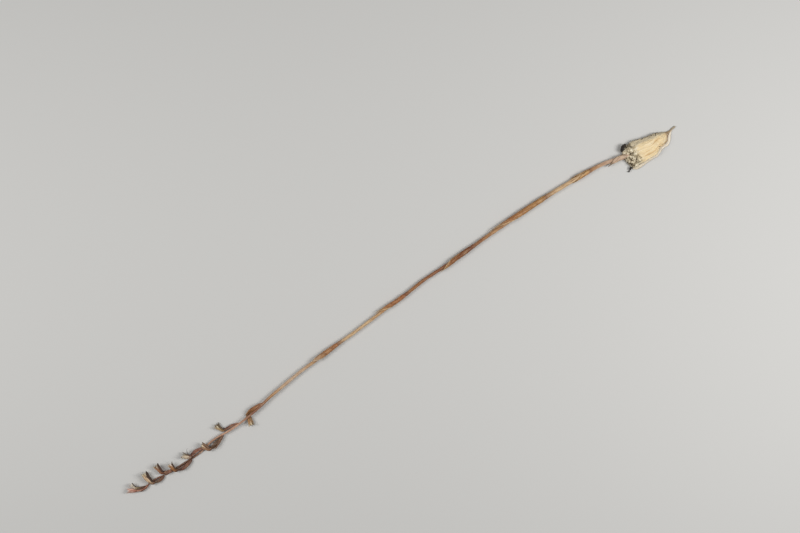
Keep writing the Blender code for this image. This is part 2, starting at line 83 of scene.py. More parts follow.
# The scape's centre line, from inside the root's crown to the raceme's tip: along, across, height and radius.
SCAPE_LINE = [
    (282.4, 1.5, 3.0, 0.7), (279.2, 2.4, 2.35, 0.98), (276.0, 3.2, 2.05, 0.98), (270.0, 4.7, 1.8, 0.93),
    (262.0, 5.6, 1.72, 0.95), (250.0, 6.3, 1.72, 1.0), (238.0, 6.7, 1.64, 1.05), (220.0, 6.7, 1.64, 1.0),
    (205.0, 6.5, 1.62, 0.93), (196.0, 6.2, 1.62, 0.92), (180.0, 5.8, 1.62, 0.86), (170.0, 5.8, 1.6, 0.84),
    (158.0, 4.8, 1.6, 0.8), (148.0, 4.5, 1.6, 0.8), (138.0, 3.9, 1.58, 0.8), (128.0, 3.35, 1.58, 0.8),
    (119.0, 3.1, 1.62, 0.8), (108.0, 2.5, 1.62, 0.8), (98.0, 2.0, 1.66, 0.8), (88.0, 0.95, 1.8, 0.8),
    (79.0, -0.1, 2.1, 0.76), (74.0, -1.0, 2.25, 0.68), (70.0, -1.65, 2.35, 0.6), (66.0, -2.1, 2.35, 0.58),
    (60.0, -2.5, 2.15, 0.58), (54.0, -2.55, 1.8, 0.56), (49.0, -2.2, 1.45, 0.52), (45.0, -2.2, 1.15, 0.48),
    (42.0, -2.7, 0.85, 0.45), (39.0, -3.5, 0.65, 0.42), (35.0, -3.8, 0.55, 0.4), (30.0, -3.75, 0.5, 0.4),
    (26.0, -3.6, 0.5, 0.4), (21.5, -3.75, 0.5, 0.4), (17.5, -3.2, 0.5, 0.38), (13.5, -2.5, 0.52, 0.36),
    (9.0, -2.75, 0.75, 0.34), (5.4, -2.7, 1.25, 0.28),
]
SCAPE_STEP = 2.4  # spacing of its rings
SCAPE_RIDGES = 9  # the furrows that drying leaves between ridges
SCAPE_TWIST = math.radians(300)  # how far the ridges wind round it
NODE_SPREAD = 1.1  # half length of the swelling where a sheath is joined
NODE_RINGS = (2.2, 1.3, 0.7, 0.2, -0.6)  # extra rings round a sheath's base

# Each sheath: base and tip along the scape; which way its closed side faces, with 0 level towards positive
# across and 90 straight up; how far it winds round and stands off the scape; how much further its tip curls
# away; from where on it has its tip's colour; its colours from base to tip, and that of its margin.
SHEATHS = [
    {"base": 281.0, "tip": 271.2, "facing": 184.0, "twist": 0.0, "flare": 0.35, "curl": 1.0, "worn": 0.74,
     "shades": ("#8E7A64", "#D6BCA2", "#DCBEA2", "#2A1810"), "margin": "#CDB498"},
    {"base": 262.6, "tip": 251.0, "facing": 235.0, "twist": -40.0, "flare": 0.3, "curl": 0.0, "worn": 0.92,
     "shades": ("#7A4828", "#BC8650", "#CC9A5C", "#9A7040"), "margin": "#D4AA6C"},
    {"base": 238.8, "tip": 207.6, "facing": 55.0, "twist": 50.0, "flare": 0.3, "curl": 0.0, "worn": 0.92,
     "shades": ("#6A3A22", "#B98A4E", "#A86C38", "#D8B484"), "margin": "#E0C292"},
    {"base": 196.8, "tip": 178.0, "facing": 110.0, "twist": -60.0, "flare": 0.35, "curl": 0.0, "worn": 0.92,
     "shades": ("#5A2A18", "#733C1A", "#985F28", "#C69E68"), "margin": "#DCBE8C"},
    {"base": 158.8, "tip": 142.0, "facing": 60.0, "twist": 60.0, "flare": 0.28, "curl": 0.2, "worn": 0.92,
     "shades": ("#54291A", "#A2602F", "#B07440", "#DABB86"), "margin": "#E0C594"},
    {"base": 119.8, "tip": 104.6, "facing": 35.0, "twist": -35.0, "flare": 0.5, "curl": 0.0, "worn": 0.92,
     "shades": ("#5A2C1B", "#A86A38", "#B5875A", "#C9B193"), "margin": "#C9BDA6"},
]
# Shares of a sheath's length, its half angle there and how much of its flare it has.
SHEATH_PROFILE = (
    (-0.03, 178.0, -0.5), (0.03, 178.0, 0.0), (0.12, 177.0, 0.1), (0.3, 172.0, 0.3), (0.45, 158.0, 0.5),
    (0.57, 128.0, 0.65), (0.68, 94.0, 0.8), (0.78, 62.0, 0.85), (0.87, 36.0, 0.85), (0.94, 17.0, 0.8),
    (1.0, 0.0, 0.7),
)

# Each bloom, lowest first: the centre line of its ovary, then of its flower, as along, across, height and
# radius; which way its bract faces and how far it reaches; how far the flower is rolled; the size of its free
# tips; which side of it is painted dark as shade and how strongly; and its colours.
BLOOMS = [
    {
        "ovary": [
            (75.4, -0.8, 2.3, 0.28), (74.2, -0.45, 2.15, 0.58), (72.3, -0.4, 2.05, 0.86),
            (70.0, -0.5, 2.0, 1.0), (67.9, -0.6, 1.7, 0.92), (66.5, -1.05, 1.15, 0.64),
        ],
        "flower": [(65.7, -3.0, 1.1, 1.0), (65.1, -5.9, 1.35, 1.1)],
        "bract_facing": 30.0, "bract_reach": 1.15, "roll": 30.0, "tips": 0.8, "shade_side": 180.0,
        "shade_strength": 0.65, "ovary_shades": ("#4A2412", "#C0874C"),
        "sepal_shades": ("#7A4E28", "#DCAC70", "#FAEAC2"), "petal_shades": ("#A06A38", "#FAEEC8"),
        "bract_shades": ("#9A6C50", "#9C6030", "#BC8442"),
    },
    {
        "ovary": [
            (60.6, -2.3, 2.0, 0.24), (59.2, -1.75, 1.55, 0.42), (57.0, -1.4, 1.2, 0.58),
            (54.6, -1.3, 0.95, 0.62), (52.9, -0.95, 1.0, 0.5),
        ],
        "flower": [(51.7, 0.5, 1.2, 0.85), (51.0, 2.1, 1.45, 1.05)],
        "bract_facing": 45.0, "bract_reach": 0.95, "roll": 140.0, "tips": 1.0, "shade_side": 0.0,
        "shade_strength": 0.8, "ovary_shades": ("#40190F", "#BC8E74"),
        "sepal_shades": ("#7A5438", "#E2C69A", "#FAF0D2"), "petal_shades": ("#9A7C40", "#FAF4DA"),
        "bract_shades": ("#B88A70", "#8A5640", "#4C2016"),
    },
    {
        "ovary": [
            (51.6, -2.4, 1.6, 0.3), (50.2, -3.15, 1.4, 0.64), (48.2, -3.8, 1.35, 0.9),
            (46.0, -4.3, 1.4, 1.24), (44.1, -4.7, 1.6, 1.2), (42.8, -4.6, 1.95, 0.84),
        ],
        "flower": [(41.5, -3.0, 2.5, 1.05), (40.6, -1.2, 2.6, 1.1)],
        "bract_facing": 158.0, "bract_reach": 0.85, "roll": 40.0, "tips": 0.5, "shade_side": 15.0,
        "shade_strength": 0.55, "ovary_shades": ("#2A150B", "#7E5A38"),
        "sepal_shades": ("#5A301C", "#DCAE88", "#F8E8CA"), "petal_shades": ("#A87C50", "#F6E8CA"),
        "bract_shades": ("#5A3A2A", "#7A543C", "#94705A"),
    },
    {
        "ovary": [
            (40.6, -3.0, 0.9, 0.3), (39.2, -2.4, 1.4, 0.64), (37.2, -2.15, 1.6, 0.84),
            (35.2, -2.2, 1.55, 0.94), (33.1, -2.5, 1.55, 0.72),
        ],
        "flower": [(31.3, -1.6, 1.75, 1.05), (30.2, -0.3, 1.8, 1.15)],
        "bract_facing": 60.0, "bract_reach": 0.95, "roll": -20.0, "tips": 0.6, "shade_side": 0.0,
        "shade_strength": 0.6, "ovary_shades": ("#3A140C", "#C48A70"),
        "sepal_shades": ("#6A4030", "#F2E2C4", "#FCF6E4"), "petal_shades": ("#8E8450", "#FEFAEC"),
        "bract_shades": ("#F0C8B0", "#8A4632", "#2E1810"),
    },
    {
        "ovary": [
            (32.8, -3.8, 0.6, 0.28), (31.5, -4.5, 1.0, 0.64), (29.8, -4.85, 1.25, 0.88),
            (27.5, -5.0, 1.5, 1.1), (25.4, -4.8, 1.65, 1.0), (24.1, -4.4, 1.95, 0.68),
        ],
        "flower": [(23.3, -2.6, 2.55, 0.86), (23.1, -0.6, 2.5, 0.95)],
        "bract_facing": 125.0, "bract_reach": 0.85, "roll": 10.0, "tips": 0.7, "shade_side": 0.0,
        "shade_strength": 0.8, "ovary_shades": ("#32140B", "#80543C"),
        "sepal_shades": ("#4A2412", "#C08248", "#F8E8C4"), "petal_shades": ("#A87038", "#FEFAF2"),
        "bract_shades": ("#46200F", "#7E4C36", "#5A2418"),
    },
    {
        "ovary": [
            (23.0, -3.6, 0.6, 0.28), (21.9, -3.1, 1.15, 0.56), (20.6, -2.85, 1.55, 0.86),
            (19.2, -2.5, 1.9, 0.94), (18.3, -1.95, 2.1, 0.68),
        ],
        "flower": [(17.5, 0.1, 2.2, 0.95), (17.2, 2.5, 2.0, 1.15)],
        "bract_facing": 110.0, "bract_reach": 0.85, "roll": 22.0, "tips": 0.6, "shade_side": 10.0,
        "shade_strength": 0.88, "ovary_shades": ("#3E180A", "#A06C50"),
        "sepal_shades": ("#643420", "#C88658", "#F2E0B0"), "petal_shades": ("#8E5428", "#F6EED2"),
        "bract_shades": ("#62301C", "#A06C54", "#5C2A1A"),
    },
    {
        "ovary": [
            (17.7, -3.2, 0.6, 0.26), (16.5, -3.75, 0.85, 0.52), (14.9, -3.85, 1.05, 0.74),
            (13.2, -3.7, 1.3, 0.84), (11.9, -3.3, 1.65, 0.66),
        ],
        "flower": [(10.8, -0.9, 2.15, 1.3), (10.45, 2.5, 2.0, 1.25)],
        "bract_facing": 120.0, "bract_reach": 0.85, "roll": 132.0, "tips": 0.55, "shade_side": 10.0,
        "shade_strength": 0.95, "ovary_shades": ("#241209", "#70482E"),
        "sepal_shades": ("#6A452E", "#F2D2AA", "#FAF0CA"), "petal_shades": ("#8A6A46", "#F6EED0"),
        "bract_shades": ("#32190F", "#744A30", "#2A170E"),
    },
    {
        "ovary": [
            (8.8, -3.0, 1.0, 0.26), (7.2, -3.1, 1.15, 0.5), (5.6, -2.95, 1.3, 0.68),
            (4.0, -2.45, 1.4, 0.82), (2.6, -1.75, 1.45, 0.74),
        ],
        "flower": [(1.1, -0.8, 1.45, 0.86), (-0.5, 0.15, 1.4, 0.88)],
        "bract_facing": 205.0, "bract_reach": 0.7, "roll": 30.0, "tips": 0.5, "shade_side": 180.0,
        "shade_strength": 0.3, "ovary_shades": ("#6A3424", "#D0947C"),
        "sepal_shades": ("#A86A56", "#F8D2C0", "#FCF0E8"), "petal_shades": ("#C08C7A", "#FAEEE6"),
        "bract_shades": ("#5A2A1C", "#A0684E", "#5A2418"),
    },
    {
        "ovary": [
            (7.4, -2.6, 1.15, 0.24), (6.1, -2.3, 1.8, 0.48), (4.9, -1.8, 2.15, 0.66),
            (3.9, -1.05, 2.3, 0.62),
        ],
        "flower": [(3.0, 0.2, 2.25, 0.76), (2.5, 1.3, 2.1, 0.8)],
        "bract_facing": 100.0, "bract_reach": 0.85, "roll": 240.0, "tips": 0.5, "shade_side": 0.0,
        "shade_strength": 0.9, "ovary_shades": ("#2A170C", "#A08A5C"),
        "sepal_shades": ("#8E7254", "#FAF0DA", "#FCF4EE"), "petal_shades": ("#BEB084", "#FCF4EC"),
        "bract_shades": ("#2E190D", "#5A3822", "#2A1A12"),
    },
]
ELBOW = 0.5  # how far a flower goes straight on from its ovary before it bends
ROOTED = 0.35  # how far its segments start inside the ovary's shoulder

# Shares of a bract's length and its half angle there.
BRACT_PROFILE = (
    (-0.04, 150.0), (0.06, 140.0), (0.16, 112.0), (0.3, 92.0), (0.46, 76.0), (0.62, 56.0), (0.76, 36.0),
    (0.89, 16.0), (1.0, 0.0),
)
# The bract that ends in a dark hooked thread, and the thread's line.
HOOKED_BRACT = 4
HOOK_LINE = [
    (34.2, -2.3, 2.3, 0.16), (32.7, -1.7, 2.2, 0.16), (32.8, -0.2, 2.1, 0.15), (33.3, 1.1, 2.0, 0.12),
    (34.0, 1.2, 1.95, 0.06),
]

# The six segments of a flower: which way round it faces, how far its tip stands forward and out beside the
# bloom's own tip size, its half width round the tube in degrees, and which ring it is in.
SEGMENTS = [
    {"name": "sepals", "facing": 0.0, "forward": 1.0, "out": 0.45, "half": 55.0, "inner": 0.0},
    {"name": "petals", "facing": 60.0, "forward": 0.55, "out": 0.1, "half": 44.0, "inner": 0.13},
    {"name": "sepals", "facing": 120.0, "forward": 0.9, "out": 0.4, "half": 56.0, "inner": 0.02},
    {"name": "lip", "facing": 180.0, "forward": 0.45, "out": 0.8, "half": 58.0, "inner": 0.15},
    {"name": "sepals", "facing": 240.0, "forward": 0.85, "out": 0.35, "half": 56.0, "inner": 0.04},
    {"name": "petals", "facing": 300.0, "forward": 0.5, "out": 0.1, "half": 44.0, "inner": 0.13},
]
# Shares of a segment's length, of its half width and of its flare.
SEGMENT_PROFILE = (
    (0.0, 1.0, 0.0), (0.14, 1.0, 0.0), (0.3, 1.0, 0.0), (0.48, 0.98, 0.02), (0.64, 0.9, 0.08),
    (0.77, 0.76, 0.25), (0.88, 0.52, 0.55), (0.95, 0.28, 0.8), (1.0, 0.0, 1.0),
)
HAIR_RELIEF = 0.003  # fine relief of a hair, which is far thinner than other tissue

# The tuberous root from above: along, upper edge across, lower edge across and half its thickness.
TUBER_OUTLINE = [
    (279.9, 1.6, -0.6, 0.5), (280.0, 3.6, -2.3, 1.1), (280.7, 4.9, -4.3, 1.5), (282.0, 5.6, -5.0, 1.7),
    (284.7, 6.2, -5.2, 1.95), (287.4, 6.15, -5.25, 2.2), (289.0, 5.8, -5.3, 2.3), (290.6, 5.1, -5.35, 2.3),
    (291.6, 4.5, -5.4, 2.25), (293.4, 4.1, -5.5, 2.2), (294.7, 3.9, -4.8, 2.1), (296.0, 3.75, -3.95, 2.0),
    (297.8, 3.5, -3.6, 1.85), (299.9, 2.7, -3.5, 1.6), (301.2, 2.15, -3.0, 1.35), (302.2, 1.6, -1.85, 1.05),
    (303.2, 0.95, -0.75, 0.7), (304.0, 0.6, -0.2, 0.42), (305.4, 0.6, 0.1, 0.3), (306.9, 0.85, 0.4, 0.26),
    (308.0, 0.95, 0.65, 0.2),
]
TUBER_SINK = 0.12  # how much of its round underside is flattened where it lies
TUBER_COLUMNS = 64
TUBER_STEP = 0.8  # spacing of its rings
TAIL_START = 304.5
TAIL_LIFT = 0.35  # how far the tail stands off the surface

# The loose skin along the root's lower edge: along, across, height and how widely it curls.
SKIN_LINE = [
    (280.4, -5.2, 0.62, 0.5), (282.6, -5.6, 0.6, 0.6), (285.0, -5.65, 0.58, 0.6), (288.0, -5.6, 0.56, 0.55),
    (290.6, -5.65, 0.56, 0.55), (292.2, -5.85, 0.56, 0.6), (293.7, -5.95, 0.56, 0.5),
    (294.9, -5.5, 0.56, 0.48), (296.3, -4.75, 0.56, 0.44), (298.1, -4.4, 0.56, 0.44),
    (300.0, -4.4, 0.55, 0.44), (301.4, -3.95, 0.55, 0.44), (302.5, -2.95, 0.52, 0.42),
    (303.7, -1.75, 0.5, 0.38), (305.0, -0.75, 0.45, 0.32), (306.3, -0.05, 0.42, 0.25),
]
SKIN_STEPS = 48

# The two stubs of old roots: along, across, height and radius.
STUBS = {
    "root_stub_upper": [
        (279.9, 4.9, 2.3, 0.35), (280.8, 5.4, 2.5, 0.8), (282.1, 6.1, 2.6, 0.95), (283.6, 6.7, 2.4, 0.4),
    ],
    "root_stub_lower": [(280.2, -3.7, 1.5, 0.5), (278.9, -4.55, 0.9, 0.38), (277.9, -5.1, 0.6, 0.16)],
}
# The crust of soil: its middle and the halves of its length and width.
CRUST_MIDDLE = (283.2, 0.4, 4.6)
CRUST_HALF = (2.8, 4.7)
# Where the dark crumbs of humus and painted shade end on the crown and behind it, and where they start and
# end along the upper edge.
DARK_CRUMB_PLACES = (281.6, 284.0, 289.0, 300.0)

# The bare scape's colours at distances along it: straw between the nodes, brown round them, and darker and
# redder towards the raceme's tip.
STRAW, TAN, RUSSET, NODE, FOOT = "#E2C294", "#BE9262", "#8E5630", "#6A3A22", "#DCBEA2"
DUSKY, SORREL, ROSY, BLUSH, COPPER, SAND = "#5E3626", "#8E5E48", "#D8AC90", "#C49A80", "#A4703F", "#DEC2A2"
SCAPE_SHADES = [
    (5, SORREL), (12, SORREL), (18, DUSKY), (34, DUSKY), (39, BLUSH), (47, BLUSH), (52, ROSY), (60, ROSY),
    (68, SORREL), (73, SORREL), (81, TAN), (90, SAND), (98, SAND), (106, TAN), (119, NODE), (124, STRAW),
    (137, STRAW), (146, TAN), (158, NODE), (163, COPPER), (172, RUSSET), (196, NODE), (204, COPPER),
    (209, TAN), (238, NODE), (243, STRAW), (259, STRAW), (262, NODE), (265, TAN), (272, FOOT),
]

# The view from above: what lies at its middle, how the plant is turned in it, and the width that it takes in.
VIEW_MIDDLE = (164.0, 17.3)
VIEW_TURN = -33.55
VIEW_WIDTH = 376.1
SENSOR = 36.0
# The lamps, in metres: how far to either side and how high they stand, and their length and width.
LAMP_REACH = 0.36
LAMP_HEIGHT = 0.42
LAMP_SIZE = (0.16, 0.3)


def spot(along, across, height):
    """A point of the plant in the frame's metres."""
    return ORIGIN + Vector((along, across, height)) * MM


def x_at(along):
    """Where a place along the plant lies on the frame's X."""
    return spot(along, 0, 0).x


def between(low, high, share):
    return low + (high - low) * share


def linear(hex_colour):
    """An sRGB hex colour as linear values, with full alpha."""
    channels = [int(hex_colour[i : i + 2], 16) / 255 for i in (1, 3, 5)]
    return [c / 12.92 if c <= 0.04045 else ((c + 0.055) / 1.055) ** 2.4 for c in channels] + [1.0]


def read_off(values, share):
    """A value at a share of a list of evenly spaced values."""
    place = min(max(share, 0.0), 1.0) * (len(values) - 1)
    low = min(int(place), len(values) - 2)
    return between(values[low], values[low + 1], place - low)


class StemSizes(bpy.types.PropertyGroup):
    furrow: FloatProperty(
        name="Furrow depth", description="Depth of the stem's furrows, as a share of its radius",
        default=0.24, min=0.0, max=0.4,
    )
    swelling: FloatProperty(
        name="Node swelling", description="Extra radius where a sheath is joined", default=0.16 * MM,
        unit="LENGTH",
    )
    sheath_wall: FloatProperty(
        name="Sheath wall", description="Thickness of a dry sheath", default=0.13 * MM, unit="LENGTH",
    )
    sheath_gap: FloatProperty(
        name="Sheath gap", description="How far a sheath stands off the stem", default=0.1 * MM,
        unit="LENGTH",
    )


class BloomSizes(bpy.types.PropertyGroup):
    ribs: IntProperty(name="Ovary ribs", description="Ribs round an ovary", default=6, min=3, max=12)
    twist: FloatProperty(
        name="Ovary twist", description="How far an ovary turns along its length", default=math.radians(70),
        subtype="ANGLE",
    )
    petal_wall: FloatProperty(
        name="Petal thickness", description="Thickness of a dry sepal, petal or lip", default=0.11 * MM,
        unit="LENGTH",
    )
    fullness: FloatProperty(
        name="Fullness", description="Width of the flowers, as a share of their centre lines' own",
        default=1.12,
    )
    crumple: FloatProperty(
        name="Crumple", description="How far drying has crumpled the petals", default=0.42 * MM,
        unit="LENGTH",
    )
    hair: FloatProperty(
        name="Hair length", description="Length of the chaffy hairs on the ovaries", default=0.3 * MM,
        unit="LENGTH",
    )


class RootSizes(bpy.types.PropertyGroup):
    fibre: FloatProperty(
        name="Fibre depth", description="Depth of the flesh's fibres, as a share of the root's radius",
        default=0.07, min=0.0, max=0.3,
    )
    skin_wall: FloatProperty(
        name="Skin thickness", description="Thickness of the loose skin", default=0.16 * MM, unit="LENGTH",
    )
    crumb: FloatProperty(
        name="Crumb size", description="Width of a crumb of soil", default=0.4 * MM, unit="LENGTH",
    )
    hair: FloatProperty(
        name="Root hair length", description="Length of a matted root hair", default=0.85 * MM,
        unit="LENGTH",
    )
    flesh: FloatVectorProperty(
        name="Flesh colour", description="Colour of the starchy flesh", subtype="COLOR", size=4,
        default=linear("#DCC8A8"),
    )


class StudioSettings(bpy.types.PropertyGroup):
    height: FloatProperty(
        name="Camera height", description="Height of the camera over the plant", default=0.62,
        unit="LENGTH",
    )
    floor: FloatVectorProperty(
        name="Floor colour", description="Colour of the plain floor", subtype="COLOR", size=4,
        default=linear("#CCCBC8"),
    )
    lamps: FloatProperty(name="Lamp power", description="Power of the left lamp, in watts", default=1.3)
    balance: FloatProperty(
        name="Right lamp", description="Power of the right lamp beside the left one's", default=1.45,
    )
    shadowless: BoolProperty(
        name="Even light only", description="Leave the two side lamps out", default=False,
    )


def fresh():
    """Leaves edit mode and deselects everything, so that the next operator acts on its own piece only."""
    if bpy.context.object and bpy.context.object.mode != "OBJECT":
        bpy.ops.object.mode_set(mode="OBJECT")
    bpy.ops.object.select_all(action="DESELECT")


def hold(piece):
    """Makes one piece the selected and active one."""
    fresh()
    piece.select_set(True)
    bpy.context.view_layer.objects.active = piece


def entitle(piece, name):
    piece.name = name
    piece.data.name = name


def edit(piece, wanted=lambda vertex: True):
    """Opens a piece in edit mode, with the vertices that pass a test selected and no others."""
    if piece.mode != "EDIT":
        hold(piece)
        bpy.ops.object.mode_set(mode="EDIT")
    mesh = bmesh.from_edit_mesh(piece.data)
    for vertex in mesh.verts:
        vertex.select = wanted(vertex)
    mesh.select_flush_mode()
    bmesh.update_edit_mesh(piece.data)


def scale_about(centre, *value):
    bpy.ops.transform.resize(value=value, center_override=centre)


def cut_away(piece, wanted):
    """Deletes the vertices that pass a test."""
    edit(piece, wanted)
    bpy.ops.mesh.delete(type="VERT")
    fresh()


def turn(piece, rotation):
    """Turns a piece about the frame's origin and applies it."""
    hold(piece)
    piece.rotation_euler = rotation
    bpy.ops.object.transform_apply(location=False, rotation=True, scale=False)


def slide(piece, shift):
    """Moves a piece by some millimetres along X and applies it."""
    hold(piece)
    piece.location.x = shift * MM
    bpy.ops.object.transform_apply(location=True, rotation=False, scale=False)


def work(piece, kind, **settings):
    """Adds a modifier, sets it up and applies it."""
    hold(piece)
    modifier = piece.modifiers.new(kind.title(), kind)
    for key, value in settings.items():
        setattr(modifier, key, value)
    bpy.ops.object.modifier_apply(modifier=modifier.name)


def wring(piece, method, angle):
    """Twists a straight piece round X, or rolls a flat one round it."""
    work(piece, "SIMPLE_DEFORM", deform_method=method, deform_axis="X", angle=angle)


def smooth(piece, levels):
    work(piece, "SUBSURF", levels=levels, render_levels=levels)


def crumple(piece, size, strength, group="", stretch=1.0):
    """Pushes the surface in and out by a noise of lumps some millimetres across, and longer along X."""
    lumps = bpy.data.textures.new(piece.name, "CLOUDS")
    lumps.noise_scale = size
    lumps.noise_depth = 2
    fresh()
    bpy.ops.object.empty_add()
    ruler = bpy.context.object
    ruler.scale = (stretch * MM, MM, MM)
    bpy.context.view_layer.update()
    work(
        piece, "DISPLACE", texture=lumps, strength=strength * 2, vertex_group=group,
        texture_coords="OBJECT", texture_coords_object=ruler,
    )
    bpy.data.textures.remove(lumps)
    drop(ruler)


def weigh(piece, name, share):
    """A vertex group whose weight at each vertex is worked out from its place and normal."""
    group = piece.vertex_groups.new(name=name)
    for vertex in piece.data.vertices:
        group.add([vertex.index], min(max(share(vertex), 0.0), 1.0), "REPLACE")


def guide(points):
    """A smooth curve through given points, to bend pieces along, and its length in millimetres."""
    fresh()
    bpy.ops.curve.primitive_bezier_curve_add()
    line = bpy.context.object
    spline = line.data.splines[0]
    spline.bezier_points.add(len(points) - 2)
    for knot, point in zip(spline.bezier_points, points):
        knot.co = spot(*point[:3])
        knot.handle_left_type = "AUTO"
        knot.handle_right_type = "AUTO"
    line.data.resolution_u = 16
    line.data.twist_mode = "Z_UP"
    line.data.use_radius = False
    line.data.use_deform_bounds = False
    bpy.context.view_layer.update()
    return line, spline.calc_length() / MM


def rolled(name, rows, columns, pleat=None, facing=0.0):
    """A sheet shaped row by row and rolled round the X axis, with a half angle of ROUND as a closed tube.

    A row is (place along X, half angle, half width, half height), and may go on with its middle's own
    place across and height. pleat(column) scales the sheet's lengthwise lines in or out.
    """
    fresh()
    size = 2 * MM
    bpy.ops.mesh.primitive_grid_add(
        x_subdivisions=len(rows) - 1, y_subdivisions=columns, size=size, rotation=(math.pi / 2, 0, 0),
    )
    piece = bpy.context.object
    entitle(piece, name)
    bpy.ops.object.transform_apply(location=False, rotation=True, scale=False)
    count = len(rows)
    widest = max(row[1] for row in rows)
    centre = (0, 0, 0)
    for index, row in enumerate(rows):
        # A grid's vertices run along X first, so that every count-th one is in the same row.
        edit(piece, lambda vertex: vertex.index % count == index)
        scale_about(centre, 1, 1, row[1] / widest)
        start = size * (index / (count - 1) - 0.5)
        bpy.ops.transform.translate(value=(row[0] * MM - start, 0, 0))
    angle = math.radians(2 * widest)
    wring(piece, "BEND", angle)
    radius = size / angle
    edit(piece)
    bpy.ops.transform.translate(value=(0, -radius, 0))
    if pleat:
        for column in range(columns + 1):
            edit(piece, lambda vertex: vertex.index // count == column)
            share = pleat(column % columns)
            scale_about(centre, 1, share, share)
    for index, row in enumerate(rows):
        edit(piece, lambda vertex: vertex.index % count == index)
        scale_about(centre, 1, row[2] * MM / radius, row[3] * MM / radius)
        if len(row) > 4:
            bpy.ops.transform.translate(value=(0, row[4] * MM, row[5] * MM))
    bpy.ops.mesh.select_all(action="SELECT")
    bpy.ops.mesh.remove_doubles(threshold=0.001 * MM)
    bpy.ops.mesh.normals_make_consistent(inside=False)
    turn(piece, (-math.radians(facing), 0, 0))
    return piece


def every_other(depth):
    """A pleat that draws every other lengthwise line in to a share of its radius."""
    return lambda column: 1.0 if column % 2 else depth


def tube(name, length, radii, steps, point, columns, pleat=None):
    """A closed tube with its radius read off a list, and a blunt point beyond its last ring."""
    rows = [(0.0, ROUND, 0.0, 0.0)]
    for step in range(steps + 1):
        radius = read_off(radii, step / steps)
        rows.append((length * step / steps, ROUND, radius, radius))
    rows.append((length + point, ROUND, 0.0, 0.0))
    return rolled(name, rows, columns, pleat)


def shape(piece, line, levels, *lumps, wall=0.0):
    """Smooths a straight piece, bends it along its guide, crumples it and gives a sheet its thickness.

    Its X is the distance from the guide's start. lumps are settings of crumple, the coarsest first.
    """
    smooth(piece, levels)
    work(piece, "CURVE", object=line, deform_axis="POS_X")
    for settings in lumps:
        crumple(piece, *settings)
    if wall:
        work(piece, "SOLIDIFY", thickness=wall, offset=0.0)


def flatten(piece):
    """Presses what is below the floor flat against it."""
    edit(piece, lambda vertex: vertex.co.z < 0.0)
    scale_about((0, 0, 0), 1, 1, 0)
    fresh()


def drop(*helpers):
    for helper in helpers:
        bpy.data.objects.remove(helper, do_unlink=True)


def joined(name, pieces):
    """Several pieces of one kind as one object."""
    hold(pieces[0])
    for piece in pieces[1:]:
        piece.select_set(True)
    if len(pieces) > 1:
        bpy.ops.object.join()
    entitle(pieces[0], name)
    return pieces[0]


def settle(piece, material, slot, *nodes):
    """Gives a finished piece its material, sets it on the plant and hides the solids that it stands for."""
    hold(piece)
    bpy.ops.object.shade_smooth()
    piece.data.materials.clear()
    piece.data.materials.append(material)
    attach(piece, "root")
    if nodes:
        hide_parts(*nodes)


def add_node(tree, kind, links=None, stops=(), **settings):
    """Adds a node and gives its outputs; links maps its inputs to values or to other nodes' outputs."""
    node = tree.nodes.new(kind)
    for key, value in settings.items():
        setattr(node, key, value)
    for socket, source in (links or {}).items():
        if isinstance(source, bpy.types.NodeSocket):
            tree.links.new(source, node.inputs[socket])
        else:
            node.inputs[socket].default_value = source
    for index, (place, colour) in enumerate(stops):
        ramp = node.color_ramp
        stop = ramp.elements[index] if index < 2 else ramp.elements.new(place)
        stop.position = place
        stop.color = linear(colour)
    return node.outputs


def new_material(name):
    """A material with its shader, ready to be built on."""
    material = bpy.data.materials.new(name)
    material.use_nodes = True
    return material, material.node_tree, material.node_tree.nodes["Principled BSDF"]


def wire(tree, shader, colour, rough, relief, depth):
    """Gives the shader its colour, its roughness and a fine relief of some millimetres."""
    bump = add_node(tree, "ShaderNodeBump", {"Height": relief, "Strength": 0.9, "Distance": depth * MM})
    for socket, source in (("Base Color", colour), ("Roughness", rough), ("Normal", bump["Normal"])):
        tree.links.new(source, shader.inputs[socket])


